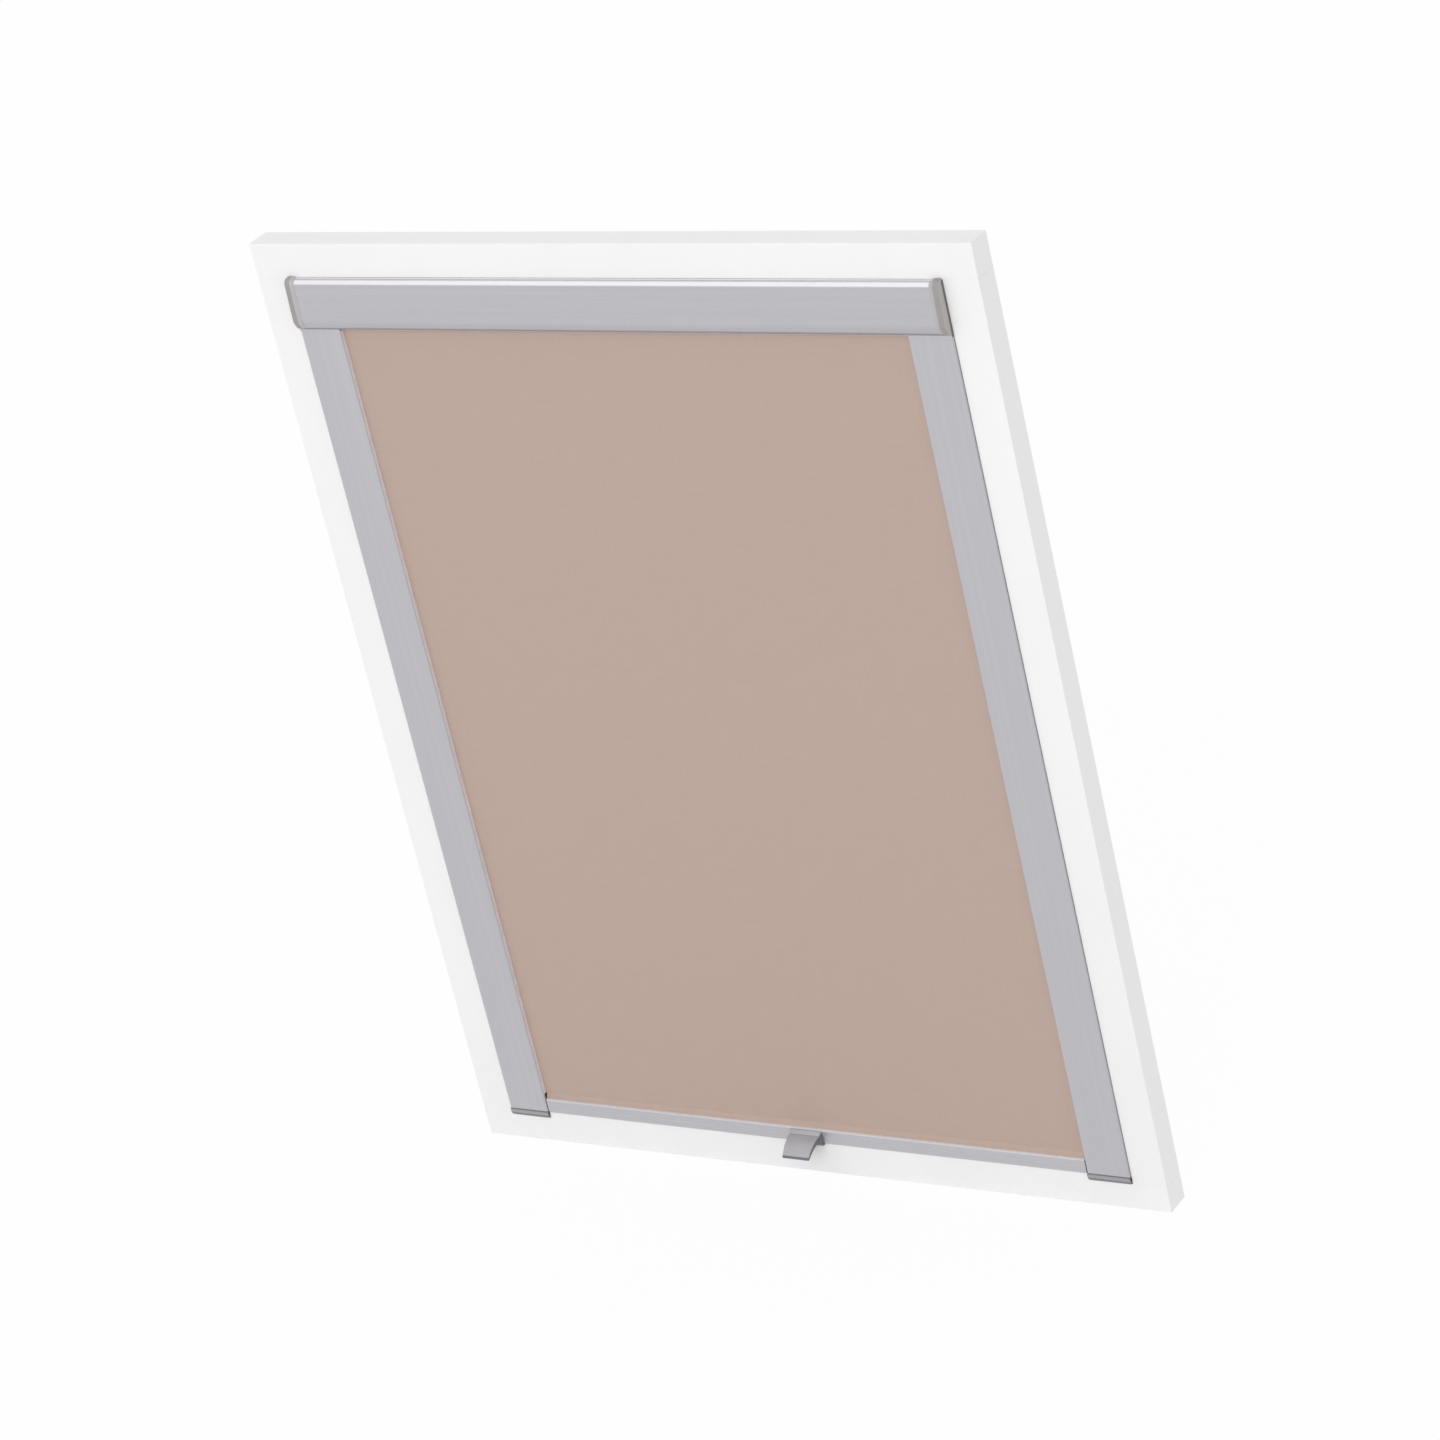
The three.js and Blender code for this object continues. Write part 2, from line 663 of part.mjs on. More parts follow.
function makeCassette() {
  const chinLip = cassetteFront + CHIN_DEPTH;
  const bead = rodAlongX(
    CHIN_BEAD_RADIUS,
    [-coverEnd, coverEnd],
    chinLip - CHIN_BEAD_RADIUS,
    cassetteBottom + CHIN_BEAD_RADIUS,
    SCREW_SIDES,
  );
  const exitTrim = block(
    [-blindHalf, blindHalf],
    [chinLip, clothY],
    [cassetteBottom - CUT_OVERRUN, cassetteBottom + CHIN_HEIGHT],
  );
  const coverShell = alongX(coverBand(0, CASSETTE_WALL), -coverEnd, coverEnd);
  const cover = joined(cut(coverShell, exitTrim), bead);
  place("cassette_front_cover", cover, palette.anodised);

  // Back profile: floor and back wall in one bent sheet, a slotted channel for the brackets with
  // a tongue under the cover, and two screw ports
  const exitRear = clothY + CLOTH_THICKNESS / 2 + SEAT_GAP + EXIT_BRUSH_WIDTH;
  const bentPath = rounded(
    [
      [cassetteBack, cassetteTop],
      [cassetteBack, cassetteBottom, CASSETTE_BEND_RADIUS],
      [exitRear - EXIT_BRUSH_WIDTH / 2, cassetteBottom],
    ],
    false,
  );
  const channel = outline([
    point(channelFront - CASSETTE_WALL - TONGUE_REACH, lipTop),
    point(mouthFront, lipTop),
    point(mouthFront, lipUnder),
    point(channelFront, lipUnder),
    point(channelFront, channelFloor),
    point(cassetteBack - CASSETTE_WALL / 2, channelFloor),
    point(cassetteBack - CASSETTE_WALL / 2, channelFloor - CASSETTE_WALL),
    point(channelFront - CASSETTE_WALL, channelFloor - CASSETTE_WALL),
    point(channelFront - CASSETTE_WALL, lipUnder),
    point(channelFront - CASSETTE_WALL - TONGUE_REACH, lipUnder),
  ]);
  const rearLip = rectangle([mouthBack, cassetteBack - CASSETTE_WALL / 2], [lipUnder, lipTop]);
  const span = [-coverEnd, coverEnd];
  const ports = [portHigh, portLow].map((z) => rodAlongX(PORT_RADIUS, span, portY, z, SCREW_SIDES));
  const bores = [portHigh, portLow].map((z) =>
    rodAlongX(PORT_BORE, [-coverEnd - CUT_OVERRUN, coverEnd + CUT_OVERRUN], portY, z, SCREW_SIDES),
  );
  const backProfile = cut(
    joined(
      alongX(sheet(bentPath, CASSETTE_WALL), ...span),
      alongX(channel, ...span),
      alongX(rearLip, ...span),
      ...ports,
    ),
    ...bores,
  );
  place("cassette_back_profile", backProfile, palette.anodised);

  // Brush that closes the exit behind the cloth, clipped over the edge of the floor
  const brushFront = clothY + CLOTH_THICKNESS / 2 + SEAT_GAP;
  const floorEdge = exitRear - EXIT_BRUSH_WIDTH / 2;
  const brush = outline([
    point(brushFront, cassetteBottom),
    point(floorEdge - SEAT_GAP, cassetteBottom),
    point(floorEdge - SEAT_GAP, cassetteBottom + CASSETTE_WALL + SEAT_GAP),
    point(exitRear, cassetteBottom + CASSETTE_WALL + SEAT_GAP),
    point(exitRear, cassetteBottom + CASSETTE_WALL + EXIT_BRUSH_HEIGHT),
    point(brushFront, cassetteBottom + CASSETTE_WALL + EXIT_BRUSH_HEIGHT),
  ]);
  place("cassette_exit_brush", alongX(brush, -clothHalf, clothHalf), palette.pile);

  // Brackets that the cassette slides on to, screwed up into the head
  const bracketX = BRACKET_PLACE_SHARE * coverEnd;
  const bracketSection = outline([
    point(channelFront + SEAT_GAP, channelFloor + SEAT_GAP),
    point(backWallInner - SEAT_GAP, channelFloor + SEAT_GAP),
    point(backWallInner - SEAT_GAP, lipUnder - SEAT_GAP),
    point(mouthBack - SEAT_GAP, lipUnder - SEAT_GAP),
    point(mouthBack - SEAT_GAP, cassetteTop),
    point(mouthFront + SEAT_GAP, cassetteTop),
    point(mouthFront + SEAT_GAP, lipUnder - SEAT_GAP),
    point(channelFront + SEAT_GAP, lipUnder - SEAT_GAP),
  ]);
  const screwBottom = channelFloor + SEAT_GAP;
  const sink = new THREE.CylinderGeometry(
    BRACKET_SCREW_RADIUS + SEAT_GAP,
    BRACKET_SCREW_HEAD_RADIUS + SEAT_GAP,
    BRACKET_SCREW_HEAD + SEAT_GAP,
    SCREW_SIDES,
  );
  sink.applyMatrix4(TURN_TO_Z);
  sink.translate(bracketX, channelMiddle, screwBottom + (BRACKET_SCREW_HEAD + SEAT_GAP) / 2);
  const bracket = cut(
    alongX(bracketSection, bracketX - BRACKET_LENGTH / 2, bracketX + BRACKET_LENGTH / 2),
    rodAlongZ(
      BRACKET_SCREW_RADIUS + SEAT_GAP,
      [channelFloor, cassetteTop + CUT_OVERRUN],
      bracketX,
      channelMiddle,
    ),
    solidOf(sink),
  );
  placeBothSides("cassette_bracket", bracket, palette.steel);
  const bracketScrew = countersunkScrew(
    BRACKET_SCREW_RADIUS,
    BRACKET_SCREW_LENGTH,
    BRACKET_SCREW_HEAD_RADIUS,
    BRACKET_SCREW_HEAD,
  );
  for (const [side, parent] of [["right", rightSide], ["left", leftSide]]) {
    const position = [bracketX, channelMiddle, screwBottom + BRACKET_SCREW_HEAD];
    placeScrew(`${side}_bracket_screw`, bracketScrew, position, [Math.PI / 2, 0, 0], parent);
  }
}

// End caps: a plate with a rounded rim, a spigot inside the cover, a hub for the roller and a
// tongue that keys the rail
function endCap(hubBore) {
  const plateOutline = outline(
    rounded(
      [
        [cassetteBack, cassetteBottom, CAP_BACK_CORNER],
        [cassetteBack, cassetteTop, CAP_BACK_CORNER],
        ...frontCorners(CAP_PROUD, CAP_CORNER).reverse(),
      ],
      true,
    ),
  );
  const plate = alongX(plateOutline, capInner + CAP_EDGE, blindHalf - CAP_EDGE, {
    bevelEnabled: true,
    bevelThickness: CAP_EDGE,
    bevelSize: CAP_EDGE,
    bevelOffset: -CAP_EDGE,
    bevelSegments: 2,
  });
  const spigotBand = coverBand(CASSETTE_WALL + SEAT_GAP, CAP_SPIGOT_WALL);
  const spigotArea = [
    [cassetteFront - FACE_RAKE, channelFront - CASSETTE_WALL - TONGUE_REACH - SEAT_GAP],
    [cassetteBottom + CHIN_HEIGHT / 2, cassetteTop],
  ];
  const spigot = alongX(spigotBand, capInner - CAP_SPIGOT, capInner + CAP_EDGE + CAP_EDGE).intersect(
    block([0, blindHalf], ...spigotArea),
  );
  const hub = rodAlongX(CAP_HUB_RADIUS, [capInner - CAP_HUB_LENGTH, capInner + CAP_EDGE], rollerY, rollerZ);
  const tongueX = chamberEnd - SEAT_GAP;
  const tongueFront = cassetteFront + CHIN_DEPTH + CAP_EDGE;
  const tongue = block(
    [tongueX - CAP_TONGUE_WIDTH, tongueX],
    [tongueFront, clothY + slotHalf - SEAT_GAP],
    [cassetteBottom - CAP_TONGUE_LENGTH, cassetteBottom + CASSETTE_WALL],
  );
  const screwHoles = [portHigh, portLow].flatMap((z) => [
    rodAlongX(
      CAP_SCREW_RADIUS + SEAT_GAP,
      [capInner - CUT_OVERRUN, blindHalf + CUT_OVERRUN],
      portY,
      z,
      SCREW_SIDES,
    ),
    rodAlongX(
      CAP_SCREW_HEAD_RADIUS + SEAT_GAP,
      [blindHalf - CAP_SCREW_HEAD - SEAT_GAP, blindHalf + CUT_OVERRUN],
      portY,
      z,
      SCREW_SIDES,
    ),
  ]);
  return cut(joined(plate, spigot, hub, tongue), hubBore, ...screwHoles);
}

function makeEndCaps() {
  const boreSpan = [capInner - CAP_HUB_LENGTH - CUT_OVERRUN, blindHalf - CAP_FACE];
  const roundBore = rodAlongX(AXLE_RADIUS + SEAT_GAP / 2, boreSpan, rollerY, rollerZ);
  const squareHalf = CORE_SQUARE / 2 + SEAT_GAP / 2;
  const squareBore = block(
    boreSpan,
    [rollerY - squareHalf, rollerY + squareHalf],
    [rollerZ - squareHalf, rollerZ + squareHalf],
  );
  place("right_cassette_cap", endCap(roundBore), palette.greyPlastic, rightSide);
  place("left_cassette_cap", endCap(squareBore), palette.greyPlastic, leftSide);

  const capScrew = panScrew(
    CAP_SCREW_RADIUS,
    CAP_SCREW_LENGTH,
    CAP_SCREW_HEAD_RADIUS,
    CAP_SCREW_HEAD,
  );
  const headSeat = blindHalf - CAP_SCREW_HEAD - SEAT_GAP / 2;
  for (const [side, parent] of [["right", rightSide], ["left", leftSide]]) {
    for (const [level, z] of [["upper", portHigh], ["lower", portLow]]) {
      placeScrew(`${side}_cap_${level}_screw`, capScrew, [headSeat, portY, z], [0, 0, Math.PI / 2], parent);
    }
  }
}

// Roller: a tube with a keyed groove for the cloth, an idle plug on a pin at the right and a
// spring plug on the core rod at the left
const keyFloor = TUBE_RADIUS - TUBE_WALL - KEY_DEPTH;

function keyBoss(grow) {
  const half = KEY_WIDTH / 2 + KEY_WALL + grow;
  return block(
    [-tubeHalf - CUT_OVERRUN, tubeHalf + CUT_OVERRUN],
    [rollerY - half, rollerY + half],
    [rollerZ + keyFloor - KEY_WALL - grow, rollerZ + TUBE_RADIUS],
  );
}

function makeRoller() {
  const span = [-tubeHalf, tubeHalf];
  const over = [-tubeHalf - CUT_OVERRUN, tubeHalf + CUT_OVERRUN];
  const outer = rodAlongX(TUBE_RADIUS, span, rollerY, rollerZ);
  const bore = rodAlongX(boreRadius, over, rollerY, rollerZ).subtract(keyBoss(0));
  const keyTop = rollerZ + boreRadius - TUBE_WALL / 2;
  const key = block(
    over,
    [rollerY - KEY_WIDTH / 2, rollerY + KEY_WIDTH / 2],
    [rollerZ + keyFloor, keyTop],
  );
  const mouth = block(
    over,
    [rollerY - KEY_MOUTH / 2, rollerY + KEY_MOUTH / 2],
    [rollerZ + keyFloor, rollerZ + TUBE_RADIUS + CUT_OVERRUN],
  );
  place("roller_tube", cut(outer, bore, key, mouth), palette.anodised);
  const keyStrip = block(
    [-clothHalf, clothHalf],
    [rollerY - KEY_WIDTH / 2 + SEAT_GAP, rollerY + KEY_WIDTH / 2 - SEAT_GAP],
    [rollerZ + keyFloor + SEAT_GAP / 2, keyTop - SEAT_GAP / 2],
  );
  place("roller_key_strip", keyStrip, palette.bearing);

  // Plugs: a barrel keyed to the tube, with a flange over its end
  const flangeStart = tubeHalf + SEAT_GAP;
  const plugBarrel = (bore) =>
    cut(
      joined(
        rodAlongX(boreRadius - SEAT_GAP, [tubeHalf - PLUG_LENGTH, flangeStart], rollerY, rollerZ)
          .subtract(keyBoss(SEAT_GAP)),
        rodAlongX(TUBE_RADIUS, [flangeStart, flangeStart + PLUG_FLANGE], rollerY, rollerZ),
      ),
      rodAlongX(bore, [0, flangeStart + PLUG_FLANGE + CUT_OVERRUN], rollerY, rollerZ),
    );
  const plug = plugBarrel(AXLE_RADIUS + SEAT_GAP);
  place("roller_idle_plug", plug, palette.bearing, rightSide);
  place("roller_spring_plug", plug, palette.bearing, leftSide);

  // Idle pin in the right cap, with a collar between the hub and the plug
  const hubFace = capInner - CAP_HUB_LENGTH;
  const pinOuter = blindHalf - CAP_FACE - SEAT_GAP;
  const collarEnd = hubFace - SEAT_GAP;
  const collarStart = flangeStart + PLUG_FLANGE + SEAT_GAP;
  const pin = joined(
    rodAlongX(AXLE_RADIUS, [pinOuter - IDLE_PIN_LENGTH, pinOuter], rollerY, rollerZ),
    rodAlongX(IDLE_PIN_COLLAR, [collarStart, collarEnd], rollerY, rollerZ),
  );
  place("idle_pin", pin, palette.steel, rightSide);

  // Core rod: its square end is locked in the left cap, and the spring winds against it
  const rodOuter = blindHalf - CAP_FACE - SEAT_GAP;
  const squareHalf = CORE_SQUARE / 2;
  const rodInner = rodOuter - CORE_ROD_LENGTH;
  const coreRod = joined(
    rodAlongX(AXLE_RADIUS, [rodInner, hubFace - SEAT_GAP], rollerY, rollerZ),
    block(
      [hubFace - CUT_OVERRUN, rodOuter],
      [rollerY - squareHalf, rollerY + squareHalf],
      [rollerZ - squareHalf, rollerZ + squareHalf],
    ),
  );
  place("spring_core_rod", coreRod, palette.steel, leftSide);

  const collarOuter = rodInner + SPRING_COLLAR_LENGTH;
  const collar = cut(
    rodAlongX(AXLE_RADIUS + SPRING_COLLAR_WALL, [rodInner - SEAT_GAP, collarOuter], rollerY, rollerZ),
    rodAlongX(
      AXLE_RADIUS + SEAT_GAP / 2,
      [rodInner, collarOuter + CUT_OVERRUN],
      rollerY,
      rollerZ,
    ),
  );
  place("spring_collar", collar, palette.bearing, leftSide);

  const springEnd = tubeHalf - PLUG_LENGTH - SEAT_GAP - SPRING_WIRE / 2;
  const springStart = collarOuter + SEAT_GAP + SPRING_WIRE / 2;
  const spring = new THREE.Mesh(torsionSpring(springStart, springEnd), palette.steel());
  spring.name = "torsion_spring";
  spring.position.set(0, rollerY, rollerZ);
  leftSide.add(spring);
}

// One unbroken wire wound round the X axis, its ends cut square
function torsionSpring(from, to) {
  const steps = SPRING_TURNS * SPRING_STEPS;
  const centres = [];
  for (let step = 0; step <= steps; step++) {
    const angle = (2 * Math.PI * step) / SPRING_STEPS;
    centres.push(
      new THREE.Vector3(
        from + ((to - from) * step) / steps,
        SPRING_RADIUS * Math.cos(angle),
        SPRING_RADIUS * Math.sin(angle),
      ),
    );
  }
  const positions = [];
  const indices = [];
  const pitch = (to - from) / SPRING_TURNS;
  centres.forEach((centre, step) => {
    const angle = (2 * Math.PI * step) / SPRING_STEPS;
    const outward = new THREE.Vector3(0, Math.cos(angle), Math.sin(angle));
    const forward = new THREE.Vector3(
      pitch,
      -2 * Math.PI * SPRING_RADIUS * Math.sin(angle),
      2 * Math.PI * SPRING_RADIUS * Math.cos(angle),
    ).normalize();
    const across = forward.clone().cross(outward);
    for (let side = 0; side < SPRING_SIDES; side++) {
      const around = (2 * Math.PI * side) / SPRING_SIDES;
      const corner = centre
        .clone()
        .addScaledVector(outward, (SPRING_WIRE / 2) * Math.cos(around))
        .addScaledVector(across, (SPRING_WIRE / 2) * Math.sin(around));
      positions.push(corner.x, corner.y, corner.z);
    }
  });
  for (let step = 0; step < steps; step++) {
    for (let side = 0; side < SPRING_SIDES; side++) {
      const next = (side + 1) % SPRING_SIDES;
      const a = step * SPRING_SIDES + side;
      const b = step * SPRING_SIDES + next;
      const c = a + SPRING_SIDES;
      const d = b + SPRING_SIDES;
      indices.push(a, b, d, a, d, c);
    }
  }
  const last = steps * SPRING_SIDES;
  for (let side = 1; side < SPRING_SIDES - 1; side++) {
    indices.push(0, side + 1, side, last, last + side, last + side + 1);
  }
  console.log(`torsion spring: least gap between turns ${leastGap(centres).toFixed(2)} mm`);
  const geometry = new THREE.BufferGeometry();
  geometry.setAttribute("position", new THREE.Float32BufferAttribute(positions, 3));
  geometry.setIndex(indices);
  geometry.computeVertexNormals();
  return geometry;
}

function leastGap(centres) {
  let least = Infinity;
  centres.forEach((centre, step) => {
    for (let other = step + SPRING_STEPS / 2; other < centres.length; other++) {
      least = Math.min(least, centre.distanceTo(centres[other]));
    }
  });
  return least - SPRING_WIRE;
}

// Cloth: a few wraps left on the roller, and the sheet that hangs from them into the bar
function makeCloth() {
  const steps = Math.round(WRAPS * WRAP_STEPS);
  const spiral = [];
  for (let step = 0; step <= steps; step++) {
    const turns = (WRAPS * step) / steps;
    const radius = TUBE_RADIUS + SEAT_GAP + wrapPitch * turns;
    const angle = Math.PI - 2 * Math.PI * (WRAPS - turns);
    spiral.push(point(rollerY + radius * Math.cos(angle), rollerZ + radius * Math.sin(angle)));
  }
  place("wound_cloth", alongX(sheet(spiral, CLOTH_THICKNESS), -clothHalf, clothHalf), palette.cloth);

  const hanging = block(
    [-clothHalf, clothHalf],
    [clothY - CLOTH_THICKNESS / 2, clothY + CLOTH_THICKNESS / 2],
    [splineZ + SPLINE_RADIUS + SEAT_GAP, rollerZ - SEAT_GAP],
  );
  const shoeCorners = [-1, 1].map((side) =>
    block(
      [side * barHalf, side * (clothHalf + CUT_OVERRUN)].sort((a, b) => a - b),
      [clothY - CUT_OVERRUN, clothY + CUT_OVERRUN],
      [barBottom, shoeBottom + SHOE_HEIGHT + SEAT_GAP],
    ),
  );
  place("blind_cloth", cut(hanging, ...shoeCorners), palette.cloth);
}

// Bottom bar: an extrusion with a keyhole groove for the cloth above a hollow chamber
const pegHeight = (chamberFloor + chamberTop) / 2;
const pegPlaces = [-PEG_SPACING / 2, PEG_SPACING / 2];

function makeBar() {
  const scoreZ = (barBottom + barTop) / 2;
  const section = outline(
    rounded(
      [
        [barFront, barBottom, BAR_RADIUS],
        [barBack, barBottom, BAR_RADIUS],
        [barBack, barTop, BAR_RADIUS],
        [clothY + GROOVE_MOUTH / 2, barTop],
        [clothY + GROOVE_MOUTH / 2, grooveTop],
        [clothY + GROOVE_WIDTH / 2, grooveTop],
        [clothY + GROOVE_WIDTH / 2, grooveFloor],
        [clothY - GROOVE_WIDTH / 2, grooveFloor],
        [clothY - GROOVE_WIDTH / 2, grooveTop],
        [clothY - GROOVE_MOUTH / 2, grooveTop],
        [clothY - GROOVE_MOUTH / 2, barTop],
        [barFront, barTop, BAR_RADIUS],
        [barFront, scoreZ + BAR_SCORE_WIDTH / 2],
        [barFront + BAR_SCORE_DEPTH, scoreZ + BAR_SCORE_WIDTH / 2],
        [barFront + BAR_SCORE_DEPTH, scoreZ - BAR_SCORE_WIDTH / 2],
        [barFront, scoreZ - BAR_SCORE_WIDTH / 2],
      ],
      true,
    ),
  );
  const chamber = block(
    [-barHalf - CUT_OVERRUN, barHalf + CUT_OVERRUN],
    [barFront + BAR_WALL, barBack - BAR_WALL],
    [chamberFloor, chamberTop],
  );
  const throughFront = [barFront - CUT_OVERRUN, barFront + BAR_WALL + CUT_OVERRUN];
  const pegHoles = pegPlaces.map((x) =>
    rodAlongY(PEG_RADIUS + SEAT_GAP, throughFront, x, pegHeight),
  );
  place("bottom_bar", cut(alongX(section, -barHalf, barHalf), chamber, ...pegHoles), palette.anodised);
  place(
    "bar_cloth_spline",
    rodAlongX(SPLINE_RADIUS, [-barHalf, barHalf], clothY, splineZ, SCREW_SIDES),
    palette.bearing,
  );

  // Shoe: a flange that slides in the rail's slot, a neck through its lips, and a spigot in the bar
  const flangeHalf = slotHalf - RUN_GAP;
  const neckHalf = SHOE_NECK / 2;
  const flangeOuter = shoeInner + SHOE_FLANGE;
  const shoeTop = shoeBottom + SHOE_HEIGHT;
  const spigotFront = barFront + BAR_WALL + SEAT_GAP;
  const spigotBack = barBack - BAR_WALL - SEAT_GAP;
  const flangeOutline = outline(
    rounded(
      [
        [shoeInner, shoeBottom, SHOE_CORNER],
        [flangeOuter, shoeBottom, SHOE_CORNER],
        [flangeOuter, shoeTop, SHOE_CORNER],
        [shoeInner, shoeTop, SHOE_CORNER],
      ],
      true,
    ),
  );
  const padX = (shoeInner + flangeOuter) / 2;
  const padZ = (shoeBottom + shoeTop) / 2;
  const flangeFront = clothY - flangeHalf;
  const pocket = block(
    [padX - PAD_WIDTH / 2 - SEAT_GAP, padX + PAD_WIDTH / 2 + SEAT_GAP],
    [flangeFront - CUT_OVERRUN, flangeFront + PAD_POCKET],
    [padZ - PAD_HEIGHT / 2 - SEAT_GAP, padZ + PAD_HEIGHT / 2 + SEAT_GAP],
  );
  const shoe = joined(
    alongY(flangeOutline, flangeFront, clothY + flangeHalf),
    block(
      [barHalf + SEAT_GAP, shoeInner + SHOE_CORNER],
      [clothY - neckHalf, clothY + neckHalf],
      [shoeBottom + SHOE_CORNER, barTop - BAR_WALL],
    ),
    block(
      [barHalf - SHOE_SPIGOT, barHalf + SEAT_GAP + SEAT_GAP],
      [spigotFront, spigotBack],
      [chamberFloor + SEAT_GAP, chamberTop - SEAT_GAP],
    ).intersect(
      joined(
        block([0, barHalf - SEAT_GAP], [spigotFront, spigotBack], [barBottom, barTop]),
        block([0, blindHalf], [clothY - neckHalf, clothY + neckHalf], [barBottom, barTop]),
      ),
    ),
  );
  placeBothSides("bar_shoe", cut(shoe, pocket), palette.shoe);

  // Friction pad and the leaf spring that presses it on the slot's front wall
  const padFace = clothY - slotHalf + SEAT_GAP;
  const pad = block(
    [padX - PAD_WIDTH / 2, padX + PAD_WIDTH / 2],
    [padFace, padFace + PAD_THICKNESS],
    [padZ - PAD_HEIGHT / 2, padZ + PAD_HEIGHT / 2],
  );
  placeBothSides("brake_pad", pad, palette.pad);
  const leafBack = flangeFront + PAD_POCKET - SEAT_GAP;
  const leafEnd = PAD_HEIGHT / 2 - SEAT_GAP;
  const leafPath = new THREE.QuadraticBezierCurve(
    point(leafBack, padZ - leafEnd),
    point(leafBack - LEAF_RISE * 2, padZ),
    point(leafBack, padZ + leafEnd),
  ).getPoints(CURVE_STEPS);
  const leaf = alongX(
    sheet(leafPath, -LEAF_THICKNESS),
    padX - PAD_WIDTH / 2 + SEAT_GAP,
    padX + PAD_WIDTH / 2 - SEAT_GAP,
  );
  placeBothSides("brake_spring", leaf, palette.steel);
}

// Pull handle: a hollow leg pegged to the bar's front, with a sloped facet above it, and a visor
// that narrows to its lip. Places are [reach in front of the bar, drop below the handle's top].
function makeHandle() {
  const crest = barTop - HANDLE_TOP_INSET;
  const seat = barFront - SEAT_GAP;
  const at = (reach, drop) => point(seat - reach, crest - drop);
  const top = at(0, 0);
  const valley = at(FACET_REACH, FACET_DROP);
  const knuckle = at(KNUCKLE_REACH, KNUCKLE_DROP);
  const shin = [at(SHIN_REACH, KNUCKLE_DROP), at(FOOT_REACH, FOOT_DROP)];
  const legOutline = outline([at(0, FOOT_DROP), top, valley, knuckle, ...shin]);

  // The knuckle is hollow, with an even wall; the shin below it leaves room for fingers
  const heel = at(0, KNUCKLE_DROP);
  const hollow = outline(
    shifted([knuckle, heel, top, valley, knuckle, heel], -HANDLE_WALL).slice(1, -1),
  );
  const span = [-HANDLE_WIDTH / 2, HANDLE_WIDTH / 2];
  const leg = cut(
    alongX(legOutline, ...span),
    alongX(hollow, span[0] - CUT_OVERRUN, span[1] + CUT_OVERRUN),
  );
  const visorPath = new THREE.QuadraticBezierCurve(
    valley,
    at(VISOR_BEND_REACH, VISOR_BEND_DROP),
    at(VISOR_REACH, VISOR_DROP),
  ).getPoints(CURVE_STEPS * 2);
  const visor = alongX(sheet(visorPath, -VISOR_THICKNESS), ...span);

  // Seen from above the handle narrows at the facet, and again to the lip
  const widths = [
    [0, HANDLE_WIDTH],
    [FACET_REACH, VISOR_WIDTH],
    [VISOR_REACH + VISOR_THICKNESS, VISOR_LIP_WIDTH],
  ];
  const rim = (side) => widths.map(([reach, width]) => point((side * width) / 2, seat - reach));
  const planform = alongZ(
    outline([...rim(-1), ...rim(1).reverse()]),
    crest - VISOR_DROP - VISOR_THICKNESS - CUT_OVERRUN,
    crest + CUT_OVERRUN,
  );

  const pegTip = barFront + BAR_WALL + SEAT_GAP + PEG_RADIUS;
  const pegs = pegPlaces.flatMap((x) => [
    rodAlongY(PEG_RADIUS, [seat - HANDLE_WALL / 2, pegTip], x, pegHeight),
    rodAlongY(PEG_RADIUS + PEG_BARB, [pegTip - PEG_RADIUS, pegTip], x, pegHeight),
  ]);
  const shell = joined(leg, visor).intersect(planform);
  place("pull_handle", joined(shell, ...pegs), palette.handlePlastic);
}

makeSurround();
makeRails();
makeCassette();
makeEndCaps();
makeRoller();
makeCloth();
makeBar();
makeHandle();

export default blind;
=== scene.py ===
"""Looks of the skylight window blind: finishes, cloth, trim, handle, brushes, camera and light.

Metres, in the CAD frame: +Z up along the rails, the blind's face towards -Y. Lengths below are
written in millimetres and turned into metres with MM, but the camera's place and the places
and sizes of the floor and the lamps are in metres.
"""

import math
import random

import bmesh
import bpy
from mathutils import Euler, Matrix, Vector


